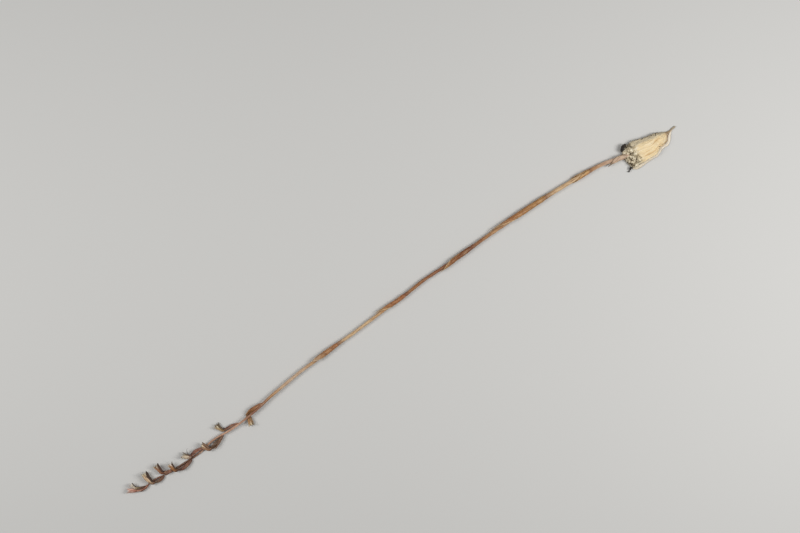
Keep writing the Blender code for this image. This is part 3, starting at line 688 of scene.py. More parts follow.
def dried_tissue(
    name, shades, dark, veins=0, vein_share=0.5, blots=0.5, length=8.0, rough=(0.42, 0.68), depth=0.12,
    span=None, margin=None, withered=None,
):
    """Plant tissue, air-dried until it shrank: half-matt, streaked along its length, darker in its furrows
    (partly painted shade).

    shades are (share, colour) from base to tip, read along the piece's own map, or along the plant over
    span. veins is how many darker lengthwise lines it has, blots how dark its age spots are, length its own
    length and depth its fine relief in millimetres, margin the colour of its thin edges, and the last one the
    colour of painted shade laid on the parts marked for it.
    """
    material, tree, shader = new_material(name)
    place = add_node(tree, "ShaderNodeTexCoord")
    own = add_node(tree, "ShaderNodeSeparateXYZ", {"Vector": place["UV"]})
    # Blotches a millimetre or two across shift the colours to and fro along the piece.
    links = {"Vector": place["Object"], "Scale": 1 / (1.6 * MM), "Detail": 4.0}
    blotch = add_node(tree, "ShaderNodeTexNoise", links)["Fac"]
    base = own["X"]
    drift = 0.35
    if span:
        far = add_node(tree, "ShaderNodeSeparateXYZ", {"Vector": place["Object"]})
        links = {"Value": far["X"], "From Min": x_at(span[0]), "From Max": x_at(span[1])}
        base = add_node(tree, "ShaderNodeMapRange", links)["Result"]
        drift = 0.012
    links = {0: blotch, 1: drift, 2: -drift / 2}
    shift = add_node(tree, "ShaderNodeMath", links, operation="MULTIPLY_ADD")["Value"]
    moved = add_node(tree, "ShaderNodeMath", {0: base, 1: shift}, operation="ADD")["Value"]
    look = add_node(tree, "ShaderNodeValToRGB", {"Fac": moved}, stops=shades)["Color"]
    layers = []
    if margin:
        side = add_node(tree, "ShaderNodeMath", {0: own["Y"], 1: 0.5}, operation="SUBTRACT")["Value"]
        edge = add_node(tree, "ShaderNodeMath", {0: side}, operation="ABSOLUTE")["Value"]
        links = {"Value": edge, "From Min": 0.33, "From Max": 0.47, "To Max": 0.85}
        thin = add_node(tree, "ShaderNodeMapRange", links, interpolation_type="SMOOTHSTEP")["Result"]
        layers.append((thin, margin))
    # Streaks run with the grain, a third of a millimetre or so apart and a few millimetres long.
    links = {0: place["UV"], 1: (length * 0.35, 16.0, 1.0)}
    stretch = add_node(tree, "ShaderNodeVectorMath", links, operation="MULTIPLY")["Vector"]
    links = {"Vector": stretch, "Scale": 1.0, "Detail": 5.0, "Roughness": 0.62}
    streak = add_node(tree, "ShaderNodeTexNoise", links)["Fac"]
    # The pale streaks are partly the tissue's own paler ridges and partly painted highlight.
    links = {"Value": streak, "From Min": 0.5, "From Max": 0.3, "To Max": 0.45}
    layers.append((add_node(tree, "ShaderNodeMapRange", links)["Result"], "#E8D2A8"))
    # Its furrows are the dark side of the streaks and the veins, whichever is darker. Where the veins follow
    # a piece's drawn-in furrows, their dark is partly the tissue's own colour and partly painted shade.
    links = {"Value": streak, "From Min": 0.46, "From Max": 0.62, "To Max": 0.75}
    streaked = add_node(tree, "ShaderNodeMapRange", links)["Result"]
    links = {0: own["Y"], 1: math.tau * veins}
    wave = add_node(tree, "ShaderNodeMath", links, operation="MULTIPLY")["Value"]
    line = add_node(tree, "ShaderNodeMath", {0: wave}, operation="COSINE")["Value"]
    links = {"Value": line, "From Min": -1.0, "From Max": 1.0, "To Max": vein_share}
    vein = add_node(tree, "ShaderNodeMapRange", links)["Result"]
    furrow = add_node(tree, "ShaderNodeMath", {0: streaked, 1: vein}, operation="MAXIMUM")["Value"]
    layers.append((furrow, dark))
    # Painted shade darkens the parts of a flower that are marked as lying on its shaded side.
    if withered:
        mark = add_node(tree, "ShaderNodeAttribute", attribute_name="withered")
        layers.append((mark["Fac"], withered))
    # Age spots are about a millimetre across.
    links = {"Vector": place["Object"], "Scale": 1 / (1.1 * MM), "Detail": 6.0, "Roughness": 0.7}
    fleck = add_node(tree, "ShaderNodeTexNoise", links)["Fac"]
    links = {"Value": fleck, "From Min": 0.5, "From Max": 0.66, "To Max": blots}
    layers.append((add_node(tree, "ShaderNodeMapRange", links)["Result"], "#34180E"))
    for share, over in layers:
        links = {"Factor": share, 6: look, 7: linear(over)}
        look = add_node(tree, "ShaderNodeMix", links, data_type="RGBA")[2]
    links = {"Value": streak, "From Min": 0.3, "From Max": 0.7, "To Min": rough[0], "To Max": rough[1]}
    gloss = add_node(tree, "ShaderNodeMapRange", links)["Result"]
    relief = add_node(tree, "ShaderNodeMath", {0: streak, 1: fleck}, operation="ADD")["Value"]
    wire(tree, shader, look, gloss, relief, depth)
    return material


def starchy_flesh(warmth):
    """Dried starchy root flesh: cream and chalky with yellow fibres, greyer where its outer layer is left."""
    material, tree, shader = new_material("starchy_root_flesh")
    place = add_node(tree, "ShaderNodeTexCoord")
    far = add_node(tree, "ShaderNodeSeparateXYZ", {"Vector": place["Object"]})
    # Bundles of fibres are about a millimetre apart and run the length of the root.
    links = {0: place["UV"], 1: (2.3, 27.0, 1.0)}
    stretch = add_node(tree, "ShaderNodeVectorMath", links, operation="MULTIPLY")["Vector"]
    links = {"Vector": stretch, "Scale": 1.0, "Detail": 5.0, "Roughness": 0.6}
    fibre = add_node(tree, "ShaderNodeTexNoise", links)["Fac"]
    stops = ((0.34, "#B48C56"), (0.42, "#DAB880"), (0.49, "#F0DEB8"), (0.56, "#E8CC94"), (0.66, "#FCF4E0"))
    look = add_node(tree, "ShaderNodeValToRGB", {"Fac": fibre}, stops=stops)["Color"]
    links = {"Vector": place["Object"], "Scale": 1 / (3.0 * MM), "Detail": 5.0}
    blotch = add_node(tree, "ShaderNodeTexNoise", links)["Fac"]
    thin = add_node(tree, "ShaderNodeMath", {0: blotch, 1: 0.4}, operation="MULTIPLY")["Value"]
    # The flesh turns brown towards its lower edge and its tail, partly its own browning and partly painted
    # shade where it turns under.
    links = {"Value": far["Z"], "From Min": 2.4 * MM, "From Max": 1.7 * MM, "To Max": 0.85}
    low = add_node(tree, "ShaderNodeMapRange", links)["Result"]
    # The outer layer is left on above a slanting line, with a ragged edge.
    slant = Vector((0.16, 1.0, 0.0))
    links = {0: place["Object"], 1: slant}
    rise = add_node(tree, "ShaderNodeVectorMath", links, operation="DOT_PRODUCT")["Value"]
    links = {0: blotch, 1: 2.4 * MM, 2: rise}
    ragged = add_node(tree, "ShaderNodeMath", links, operation="MULTIPLY_ADD")["Value"]
    start = spot(286.0, 4.3, 0.0).dot(slant)
    links = {"Value": ragged, "From Min": start, "From Max": start + 0.9 * MM, "To Max": 0.85}
    coat = add_node(tree, "ShaderNodeMapRange", links)["Result"]
    # Soil clings to the upper end, broken up by the grit's own noise.
    links = {"Vector": place["Object"], "Scale": 1 / (0.9 * MM), "Detail": 6.0, "Roughness": 0.7}
    grit = add_node(tree, "ShaderNodeTexNoise", links)["Fac"]
    links = {"Value": far["X"], "From Min": x_at(289.5), "From Max": x_at(283.0)}
    upper = add_node(tree, "ShaderNodeMapRange", links)["Result"]
    edge = add_node(tree, "ShaderNodeMath", {0: low, 1: 0.5}, operation="MULTIPLY")["Value"]
    soiled = add_node(tree, "ShaderNodeMath", {0: upper, 1: edge}, operation="MAXIMUM")["Value"]
    broken = add_node(tree, "ShaderNodeMath", {0: grit, 1: soiled}, operation="ADD")["Value"]
    links = {"Value": broken, "From Min": 0.85, "From Max": 1.25, "To Max": 0.9}
    dirt = add_node(tree, "ShaderNodeMapRange", links)["Result"]
    links = {"Vector": place["Object"], "Scale": 1 / (1.6 * MM), "Detail": 6.0, "Roughness": 0.65}
    clods = add_node(tree, "ShaderNodeTexNoise", links)["Fac"]
    stops = ((0.39, "#2E241A"), (0.46, "#86765A"), (0.53, "#CFC3A6"), (0.62, "#EEE6D0"))
    soil = add_node(tree, "ShaderNodeValToRGB", {"Fac": clods}, stops=stops)["Color"]
    layers = ((thin, warmth), (low, linear("#7A522C")), (coat, linear("#C0B398")), (dirt, soil))
    for share, over in layers:
        links = {"Factor": share, 6: look, 7: over}
        look = add_node(tree, "ShaderNodeMix", links, data_type="RGBA")[2]
    links = {"Value": fibre, "To Min": 0.62, "To Max": 0.9}
    rough = add_node(tree, "ShaderNodeMapRange", links)["Result"]
    relief = add_node(tree, "ShaderNodeMath", {0: fibre, 1: grit}, operation="ADD")["Value"]
    wire(tree, shader, look, rough, relief, 0.16)
    return material


def dry_soil(name, stops, size):
    """Dry garden soil: matt and crumbly, its colour changing from grain to grain.

    size is how wide its grains are, in millimetres.
    """
    material, tree, shader = new_material(name)
    place = add_node(tree, "ShaderNodeTexCoord")
    links = {"Vector": place["Object"], "Scale": 1 / (size * MM), "Detail": 6.0, "Roughness": 0.7}
    grit = add_node(tree, "ShaderNodeTexNoise", links)["Fac"]
    tint = add_node(tree, "ShaderNodeValToRGB", {"Fac": grit}, stops=stops)["Color"]
    links = {"Value": grit, "To Min": 0.8, "To Max": 1.0}
    rough = add_node(tree, "ShaderNodeMapRange", links)["Result"]
    wire(tree, shader, tint, rough, grit, 0.1)
    return material


def scatter(name, ground, group, grain, density, size, lean, seed):
    """Copies a small shape over a piece, so many to a square millimetre where one of its groups is full.

    size is the smallest and largest scale, and lean the least and greatest angle from the surface's normal.
    """
    hold(ground)
    piece = ground.copy()
    piece.data = ground.data.copy()
    entitle(piece, name)
    bpy.context.scene.collection.objects.link(piece)
    tree = bpy.data.node_groups.new(name, "GeometryNodeTree")
    tree.interface.new_socket("Geometry", in_out="INPUT", socket_type="NodeSocketGeometry")
    tree.interface.new_socket("Geometry", in_out="OUTPUT", socket_type="NodeSocketGeometry")
    start = add_node(tree, "NodeGroupInput")
    growth = add_node(tree, "GeometryNodeInputNamedAttribute", {"Name": group}, data_type="FLOAT")
    links = {0: growth["Attribute"], 1: density / MM**2}
    many = add_node(tree, "ShaderNodeMath", links, operation="MULTIPLY")["Value"]
    links = {"Mesh": start["Geometry"], "Density": many, "Seed": seed}
    points = add_node(tree, "GeometryNodeDistributePointsOnFaces", links)
    links = {2: size[0], 3: size[1], "Seed": seed}
    scale = add_node(tree, "FunctionNodeRandomValue", links, data_type="FLOAT")
    links = {
        "Points": points["Points"],
        "Instance": add_node(tree, "GeometryNodeObjectInfo", {"Object": grain})["Geometry"],
        "Rotation": points["Rotation"],
        "Scale": scale[1],
    }
    copies = add_node(tree, "GeometryNodeInstanceOnPoints", links)
    least, most = (math.radians(angle) for angle in lean)
    links = {0: (least, 0, 0), 1: (most, 0, math.tau), "Seed": seed + 1}
    angle = add_node(tree, "FunctionNodeRandomValue", links, data_type="FLOAT_VECTOR")
    links = {"Instances": copies["Instances"], "Rotation": angle[0]}
    turned = add_node(tree, "GeometryNodeRotateInstances", links)
    real = add_node(tree, "GeometryNodeRealizeInstances", {"Geometry": turned["Instances"]})
    add_node(tree, "NodeGroupOutput", {"Geometry": real["Geometry"]})
    work(piece, "NODES", node_group=tree)
    bpy.data.node_groups.remove(tree)
    flatten(piece)
    return piece


def hair(name, length, width):
    """One hair: a thin three-sided tube that narrows to its tip and bends over, standing along Z."""
    rows = []
    for share, thick in ((0.0, 1.0), (0.35, 0.85), (0.7, 0.55), (1.0, 0.0)):
        rows.append((share * length, ROUND, thick * width / 2, thick * width / 2))
    piece = rolled(name, rows, 3)
    turn(piece, (0, -math.pi / 2, 0))
    wring(piece, "BEND", math.radians(50))
    return piece


def crumb(name, size):
    """One crumb of soil: a coarse ball, squashed and knocked out of shape."""
    fresh()
    bpy.ops.mesh.primitive_ico_sphere_add(subdivisions=2, radius=size / 2)
    piece = bpy.context.object
    piece.name = name
    edit(piece)
    scale_about((0, 0, 0), 1.0, 0.8, 0.62)
    bpy.ops.transform.vertex_random(offset=size * 0.3, seed=3)
    fresh()
    return piece


def on_scape(along):
    """How far a place on the scape is from its guide's start, in millimetres, and its radius there."""
    walked = 0.0
    for first, second in zip(SCAPE_LINE, SCAPE_LINE[1:]):
        step = (Vector(second[:3]) - Vector(first[:3])).length
        if along >= second[0]:
            past, whole = first[0] - along, first[0] - second[0]
            return walked + step * past / whole, between(first[3], second[3], past / whole)
        walked += step
    return walked, SCAPE_LINE[-1][3]


class ORCHID_OT_scape(bpy.types.Operator):
    """Draws the furrowed stem out of one ring, with a swelling at each sheath's base"""

    bl_idname = "orchid.scape"
    bl_label = "Scape"

    def execute(self, context):
        sizes = context.scene.orchid_stem
        draw = random.Random(4)
        depths = [draw.uniform(0.3, 1.6) for _ in range(SCAPE_RIDGES)]

        def pleat(column):
            return 1.0 if column % 2 else 1.0 - sizes.furrow * depths[column // 2]

        first, last = SCAPE_LINE[0][0], SCAPE_LINE[-1][0]
        stations = [first - i * SCAPE_STEP for i in range(int((first - last) / SCAPE_STEP))] + [last]
        for sheath in SHEATHS:
            stations += [sheath["base"] + lean for lean in NODE_RINGS]
        stations = sorted((along for along in set(stations) if last <= along <= first), reverse=True)
        rows = [(0.0, ROUND, 0.0, 0.0)]
        for along in stations:
            distance, radius = on_scape(along)
            radius *= draw.uniform(0.95, 1.04)
            for sheath in SHEATHS:
                past = (along - sheath["base"] - 0.5) / NODE_SPREAD
                radius += sizes.swelling / MM * math.exp(-(past**2))
            rows.append((distance, ROUND, radius, radius))
        rows.append((on_scape(last)[0] + 0.2, ROUND, 0.0, 0.0))
        line, _ = guide(SCAPE_LINE)
        stem = rolled("stem", rows, 2 * SCAPE_RIDGES, pleat)
        wring(stem, "TWIST", SCAPE_TWIST)
        shape(stem, line, 2, (2.2, 0.06 * MM), (0.3, 0.05 * MM, "", 9.0))
        shades = [(along / first, colour) for along, colour in SCAPE_SHADES]
        tissue = dried_tissue(
            "air_dried_stem", shades, "#7A4526", veins=SCAPE_RIDGES, vein_share=0.45, blots=0.2,
            length=274.0, rough=(0.36, 0.6), span=(0.0, first),
        )
        settle(stem, tissue, "dried_stem", "scape")
        drop(line)
        return {"FINISHED"}


class ORCHID_OT_sheaths(bpy.types.Operator):
    """Rolls each papery sheath round the stem, closed at its base and cut away to a point at its tip"""

    bl_idname = "orchid.sheaths"
    bl_label = "Sheaths"

    def execute(self, context):
        sizes = context.scene.orchid_stem
        line, _ = guide(SCAPE_LINE)
        draw = random.Random(8)
        for index, sheath in enumerate(SHEATHS, 1):
            rows = []
            for share, half, lift in SHEATH_PROFILE:
                distance, radius = on_scape(between(sheath["base"], sheath["tip"], share))
                gap = sizes.sheath_gap / MM if share > 0 else -0.12
                curl = sheath["curl"] * share**4
                radius = radius + gap + curl + sheath["flare"] * lift * draw.uniform(0.8, 1.2)
                half *= (1 - 0.5 * sheath["curl"] * share**3) * draw.uniform(0.93, 1.0)
                rows.append((distance, half, radius, radius))
            piece = rolled(f"sheath_{index}_paper", rows, 20, facing=sheath["facing"])
            centre, _ = on_scape(sheath["base"])
            slide(piece, -centre)
            wring(piece, "TWIST", math.radians(sheath["twist"]))
            slide(piece, centre)
            shape(piece, line, 2, (2.0, 0.12 * MM), (0.35, 0.05 * MM, "", 7.0), wall=sizes.sheath_wall)
            paper = dried_tissue(
                f"papery_sheath_{index}", list(zip((0.0, 0.12, 0.55, sheath["worn"]), sheath["shades"])),
                "#6E3E22", veins=14, vein_share=0.3, length=sheath["base"] - sheath["tip"],
                rough=(0.4, 0.62), margin=sheath["margin"],
            )
            settle(piece, paper, "papery_sheath", f"sheath_{index}")
        drop(line)
        return {"FINISHED"}


class ORCHID_OT_ovaries(bpy.types.Operator):
    """Rolls each ribbed ovary, twists it and bends it away from the stem"""

    bl_idname = "orchid.ovaries"
    bl_label = "Ovaries"

    def execute(self, context):
        sizes = context.scene.orchid_bloom
        for index, bloom in enumerate(BLOOMS, 1):
            line, length = guide(bloom["ovary"])
            radii = [point[3] for point in bloom["ovary"]]
            piece = tube(f"ovary_{index}", length, radii, 10, 0.15, 2 * sizes.ribs, every_other(0.62))
            wring(piece, "TWIST", sizes.twist)
            shape(piece, line, 2, (1.1, 0.1 * MM), (0.4, 0.04 * MM))
            furrow, ridge = bloom["ovary_shades"]
            tissue = dried_tissue(
                f"dried_ovary_{index}", ((0.0, furrow), (0.25, ridge), (0.8, ridge), (1.0, furrow)), furrow,
                veins=sizes.ribs, vein_share=0.8, length=length, rough=(0.4, 0.65),
            )
            settle(piece, tissue, "dried_ovary", f"bloom_{index}_ovary")
            drop(line)
        return {"FINISHED"}


class ORCHID_OT_bracts(bpy.types.Operator):
    """Clasps a thin pointed bract round the foot of each ovary, cupped along one side"""

    bl_idname = "orchid.bracts"
    bl_label = "Bracts"

    def execute(self, context):
        wall = context.scene.orchid_bloom.petal_wall
        for index, bloom in enumerate(BLOOMS, 1):
            draw = random.Random(index)
            line, whole = guide(bloom["ovary"])
            reach = bloom["bract_reach"]
            length = whole * reach
            radii = [point[3] for point in bloom["ovary"]]
            rows = []
            for share, half in BRACT_PROFILE:
                close = min(1.0, 0.3 + 5 * (share + 0.04))
                radius = (read_off(radii, share * reach) + 0.08 + 0.22 * max(share, 0.0) ** 2) * close
                rows.append((length * share, half * draw.uniform(0.9, 1.05), radius, radius))
            piece = rolled(f"bract_{index}", rows, 10, every_other(0.94), bloom["bract_facing"])
            shape(piece, line, 2, (1.1, 0.14 * MM), (0.45, 0.05 * MM), wall=wall)
            if index == HOOKED_BRACT:
                hook, hooked = guide(HOOK_LINE)
                radii = (HOOK_LINE[0][3], HOOK_LINE[-1][3])
                filament = tube(f"bract_{index}_thread", hooked, radii, 12, 0.05, 6)
                shape(filament, hook, 1, (0.8, 0.06 * MM))
                drop(hook)
                shades = ((0.0, "#6A4030"), (1.0, "#3A2018"))
                dark = dried_tissue("dark_thread", shades, "#2A1610", length=hooked)
                settle(filament, dark, "dried_bract")
            paper = dried_tissue(
                f"papery_bract_{index}", list(zip((0.0, 0.5, 1.0), bloom["bract_shades"])), "#5A2C1C",
                veins=5, vein_share=0.35, length=length,
            )
            settle(piece, paper, "dried_bract", f"bloom_{index}_bract")
            drop(line)
        return {"FINISHED"}


class ORCHID_OT_flowers(bpy.types.Operator):
    """Builds each tubular flower of three sepals, two petals and a lip, dried together but for their tips"""

    bl_idname = "orchid.flowers"
    bl_label = "Flowers"

    def execute(self, context):
        sizes = context.scene.orchid_bloom
        for index, bloom in enumerate(BLOOMS, 1):
            draw = random.Random(20 + index)
            end = Vector(bloom["ovary"][-1][:3])
            ahead = (end - Vector(bloom["ovary"][-2][:3])).normalized()
            neck = bloom["ovary"][-1][3]
            elbow = end + ahead * ELBOW
            line, length = guide([end, elbow, *bloom["flower"]])
            near, mouth = (point[3] * sizes.fullness for point in bloom["flower"])
            radii = [neck * 1.06, between(neck, near, 0.65), near, between(near, mouth, 0.5), mouth]
            made = {"sepals": [], "petals": [], "lip": []}
            for number, segment in enumerate(SEGMENTS):
                reach = length + segment["forward"] * bloom["tips"] * draw.uniform(0.6, 1.25)
                out = segment["out"] * bloom["tips"] * draw.uniform(0.2, 1.5)
                half = segment["half"] * draw.uniform(0.85, 1.1)
                facing = segment["facing"] + bloom["roll"] + draw.uniform(-12.0, 12.0)
                rows = []
                for share, wide, flare in SEGMENT_PROFILE:
                    place = min(share * reach / length, 1.0)
                    radius = read_off(radii, place) - segment["inner"] + flare * out
                    rows.append((share * (reach + ROOTED) - ROOTED, half * wide, radius, radius))
                piece = rolled(f"{segment['name']}_{index}_{number}", rows, 10, every_other(0.86), facing)
                weigh(piece, "loose", lambda vertex: 0.12 + 0.88 * vertex.co.x / MM / length)
                lumps = ((1.5, sizes.crumple * 0.8, "loose"), (0.7, sizes.crumple * 0.5, "loose"))
                shape(piece, line, 2, *lumps, (0.35, sizes.crumple * 0.12), wall=sizes.petal_wall)
                # One side of each flower is painted dark as shade, most strongly on the segments turned
                # towards that side.
                turned = math.cos(math.radians(facing - bloom["shade_side"]))
                shade_share = min(max(1.8 * turned - 0.7, 0.0), 1.0) * bloom["shade_strength"]
                bpy.ops.geometry.color_attribute_add(name="withered", color=(shade_share, shade_share, shade_share, 1.0))
                made[segment["name"]].append(piece)
            base, middle, tip = bloom["sepal_shades"]
            inside, rim = bloom["petal_shades"]
            finishes = {
                "sepals": ((0.0, base), (0.1, base), (0.3, middle), (0.6, middle), (0.84, tip)),
                "petals": ((0.0, inside), (0.4, inside), (0.75, rim)),
                "lip": ((0.0, inside), (0.45, tip), (0.8, rim)),
            }
            for part, shades in finishes.items():
                outer = part == "sepals"
                # The sepals' edges take their dark base colour as painted shade in the gaps between them.
                tissue = dried_tissue(
                    f"dried_{part}_{index}", shades, base if outer else inside, veins=3, vein_share=0.6,
                    length=length, rough=(0.45, 0.7), margin=base if outer else None, withered="#2E180E",
                )
                nodes = [f"bloom_{index}_perianth"] if outer else []
                settle(joined(f"{part}_{index}", made[part]), tissue, "dried_petals", *nodes)
            drop(line)
        return {"FINISHED"}


class ORCHID_OT_hairs(bpy.types.Operator):
    """Sets the short chaffy hairs on the ovaries, the sepals and the raceme's stem"""

    bl_idname = "orchid.hairs"
    bl_label = "Chaffy hairs"

    def execute(self, context):
        sizes = context.scene.orchid_bloom
        chaff = dried_tissue(
            "chaffy_hair", ((0.0, "#8A6248"), (1.0, "#C8A686")), "#7E5840", blots=0.1, length=0.4,
            rough=(0.5, 0.7), depth=HAIR_RELIEF,
        )
        one = hair("one_hair", sizes.hair / MM, 0.034)
        raceme = x_at(77.0)

        def on_raceme(vertex):
            return 1.0 if vertex.co.x < raceme and vertex.normal.z > -0.4 else 0.0

        # How many hairs there are to a square millimetre of each.
        grounds = [("stem", 3.0)]
        for index in range(1, len(BLOOMS) + 1):
            grounds += [(f"ovary_{index}", 7.0), (f"sepals_{index}", 2.5)]
        for number, (ground, density) in enumerate(grounds):
            base = bpy.data.objects[ground]
            weigh(base, "hairy", on_raceme)
            piece = scatter(f"{ground}_hairs", base, "hairy", one, density, (0.5, 1.1), (20, 75), number)
            settle(piece, chaff, "dried_ovary")
        drop(one)
        return {"FINISHED"}


class ORCHID_OT_root(bpy.types.Operator):
    """Rolls the tuberous root and its tail row by row, flattens where it lies and roughens its fibres"""

    bl_idname = "orchid.root"
    bl_label = "Tuberous root"

    def execute(self, context):
        sizes = context.scene.orchid_root
        draw = random.Random(11)
        depths = [draw.uniform(0.0, 1.0) for _ in range(TUBER_COLUMNS)]

        def pleat(column):
            return 1.0 - sizes.fibre * depths[column] * (column % 2)

        stations = []
        for near, far in zip(TUBER_OUTLINE, TUBER_OUTLINE[1:]):
            steps = max(1, round((far[0] - near[0]) / TUBER_STEP))
            stations += [[between(a, b, step / steps) for a, b in zip(near, far)] for step in range(steps)]
        stations.append(TUBER_OUTLINE[-1])
        rows = []
        for along, upper, lower, thick in stations:
            middle = spot(0, (upper + lower) / 2, 0).y / MM
            height = thick - TUBER_SINK + (TAIL_LIFT if along > TAIL_START else 0.0)
            rows.append((x_at(along) / MM, ROUND, (upper - lower) / 2, thick, middle, height))
        first, last = rows[0], rows[-1]
        rows.insert(0, (first[0] + 0.1, ROUND, 0.0, 0.0, *first[4:]))
        rows.append((last[0] + 0.1, ROUND, 0.0, 0.0, *last[4:]))
        tuber = rolled("tuber", rows, TUBER_COLUMNS, pleat)
        smooth(tuber, 2)
        crumple(tuber, 3.0, 0.3 * MM)
        crumple(tuber, 0.6, 0.22 * MM, stretch=9.0)
        crumple(tuber, 1.0, 0.12 * MM)
        crumple(tuber, 0.4, 0.05 * MM)
        flatten(tuber)
        settle(tuber, starchy_flesh(sizes.flesh), "root_flesh", "root_tuber")
        return {"FINISHED"}


class ORCHID_OT_skin(bpy.types.Operator):
    """Curls the loose papery skin along the root's lower edge"""

    bl_idname = "orchid.skin"
    bl_label = "Papery skin"

    def execute(self, context):
        sizes = context.scene.orchid_root
        line, length = guide(SKIN_LINE)
        radii = [point[3] for point in SKIN_LINE]
        draw = random.Random(9)
        rows = []
        for step in range(SKIN_STEPS + 1):
            share = step / SKIN_STEPS
            taper = min(1.0, 0.2 + 14 * share, 0.15 + 7 * (1 - share))
            wide = read_off(radii, share) * 1.85 * taper * draw.uniform(0.9, 1.08)
            rows.append((length * share, 84.0 * draw.uniform(0.9, 1.0), wide * 0.5, wide, 0.15, 0.42))
        piece = rolled("skin", rows, 8)
        turn(piece, (-math.pi / 2, 0, 0))
        shape(piece, line, 2, (1.2, 0.14 * MM), (0.5, 0.06 * MM), wall=sizes.skin_wall)
        # Its brown margins are partly its own browned edges and partly painted shade in the groove under the
        # root and along its outer edge.
        paper = dried_tissue(
            "papery_root_skin", ((0.0, "#D8CDB6"), (0.5, "#F6EDDC"), (1.0, "#FAF0E0")), "#C4B294",
            blots=0.15, margin="#967652", veins=1, vein_share=0.3, length=length, rough=(0.55, 0.8),
        )
        settle(piece, paper, "papery_skin", "root_skin")
        drop(line)
        return {"FINISHED"}


class ORCHID_OT_stubs(bpy.types.Operator):
    """Rolls the two blackened stubs of old roots and knobs their surface"""

    bl_idname = "orchid.stubs"
    bl_label = "Old root stubs"

    def execute(self, context):
        bark = dry_soil("blackened_root", ((0.3, "#15110E"), (0.55, "#2E261F"), (0.75, "#5A4E40")), 0.6)
        for name, points in STUBS.items():
            line, length = guide(points)
            piece = tube(f"{name}_bark", length, [point[3] for point in points], 8, 0.1, 10)
            shape(piece, line, 3, (1.0, 0.34 * MM), (0.4, 0.2 * MM))
            settle(piece, bark, "blackened_root", name)
            drop(line)
        return {"FINISHED"}


class ORCHID_OT_soil(bpy.types.Operator):
    """Cakes ragged soil on the root's upper end and scatters crumbs over it"""

    bl_idname = "orchid.soil"
    bl_label = "Soil"

    def execute(self, context):
        tuber = bpy.data.objects["tuber"]
        shades = ((0.39, "#1E1610"), (0.45, "#6A5A44"), (0.51, "#C2B292"), (0.6, "#F0E6CE"))
        earth = dry_soil("dry_soil", shades, 1.6)
        fresh()
        middle = spot(*CRUST_MIDDLE)
        bpy.ops.mesh.primitive_grid_add(x_subdivisions=34, y_subdivisions=58, size=2 * MM, location=middle)
        crust = bpy.context.object
        entitle(crust, "crust")
        bpy.ops.object.transform_apply(location=True, rotation=False, scale=False)
        edit(crust)
        scale_about(middle, *CRUST_HALF, 1)

        def bare(vertex):
            share = max(vertex.co.x - x_at(281.0), 0.0) / (5.0 * MM)
            rim = abs(vertex.co.y - middle.y) / (CRUST_HALF[1] * MM)
            return noise.noise(vertex.co / (1.1 * MM)) * 0.5 + 0.35 < 0.1 + 0.6 * share + 0.4 * rim**6

        cut_away(crust, bare)
        work(
            crust, "SHRINKWRAP", target=tuber, wrap_method="PROJECT", use_project_z=True,
            use_positive_direction=False, use_negative_direction=True, offset=0.14 * MM,
        )
        # What lay outside the root's outline has stayed at its old height.
        cut_away(crust, lambda vertex: vertex.co.z > middle.z - 0.01 * MM)
        work(crust, "SOLIDIFY", thickness=0.3 * MM, offset=0.0)
        smooth(crust, 1)
        crumple(crust, 0.8, 0.16 * MM)
        crumple(crust, 0.3, 0.08 * MM)
        settle(crust, earth, "dry_soil", "soil_crust")

        shoulder, waist = x_at(287.0), x_at(301.0)

        def dirty(vertex):
            upper_end = max(0.0, (shoulder - vertex.co.x) / (6.0 * MM))
            edge = 0.4 if 1.4 * MM < vertex.co.z < 3.0 * MM and vertex.co.x < waist else 0.02
            return 0.0 if vertex.co.z < 0.5 * MM else max(upper_end, edge)

        weigh(tuber, "dirty", dirty)
        one = crumb("one_crumb", context.scene.orchid_root.crumb)
        upright = (0, 40)
        crumbs = [scatter("soil_crumbs", tuber, "dirty", one, 3.2, (0.3, 1.5), upright, 21)]
        crown = x_at(276.5)
        for number, name in enumerate(("stem", "sheath_1_paper")):
            foot = bpy.data.objects[name]
            weigh(foot, "foot", lambda vertex: (vertex.co.x - crown) / (5.0 * MM))
            crumbs.append(scatter(f"{name}_crumbs", foot, "foot", one, 2.2, (0.2, 0.8), upright, 40 + number))
        settle(joined("soil_crumbs", crumbs), earth, "dry_soil")

        # Dark crumbs, partly humus and partly painted shade, are thick on the crown's face, thinner behind
        # it, and bead the root's upper edge.
        face, behind, edge_start, edge_end = (x_at(along) for along in DARK_CRUMB_PLACES)
        ledge = spot(0, 1.6, 0).y

        def beaded(vertex):
            if vertex.co.x < face:
                return 1.0 if vertex.co.z > 0.8 * MM else 0.0
            if edge_start < vertex.co.x < edge_end:
                return 0.5 if vertex.co.y > ledge and 1.7 * MM < vertex.co.z < 3.1 * MM else 0.0
            return 0.25 if vertex.co.x < behind and vertex.co.z > 1.5 * MM else 0.0

        weigh(tuber, "beaded", beaded)
        dark = dry_soil("humus_crumbs", ((0.35, "#120D09"), (0.6, "#3A2C20"), (0.75, "#6A5640")), 0.5)
        settle(scatter("humus_crumbs", tuber, "beaded", one, 3.4, (0.4, 1.2), upright, 52), dark, "dry_soil")
        drop(one)
        return {"FINISHED"}


class ORCHID_OT_root_hairs(bpy.types.Operator):
    """Mats pale root hairs over the root's upper end and edges"""

    bl_idname = "orchid.root_hairs"
    bl_label = "Root hairs"

    def execute(self, context):
        pale = dried_tissue(
            "matted_root_hair", ((0.0, "#BEB092"), (1.0, "#F0E8D2")), "#A89878", blots=0.1, length=1.0,
            rough=(0.6, 0.85), depth=HAIR_RELIEF,
        )
        # Real root hairs are far finer. These are drawn as coarse as they need to be to show.
        one = hair("one_root_hair", context.scene.orchid_root.hair / MM, 0.06)
        hairs = scatter("root_hairs", bpy.data.objects["tuber"], "dirty", one, 8.0, (0.4, 1.1), (63, 86), 33)
        settle(hairs, pale, "root_flesh")
        drop(one)
        return {"FINISHED"}


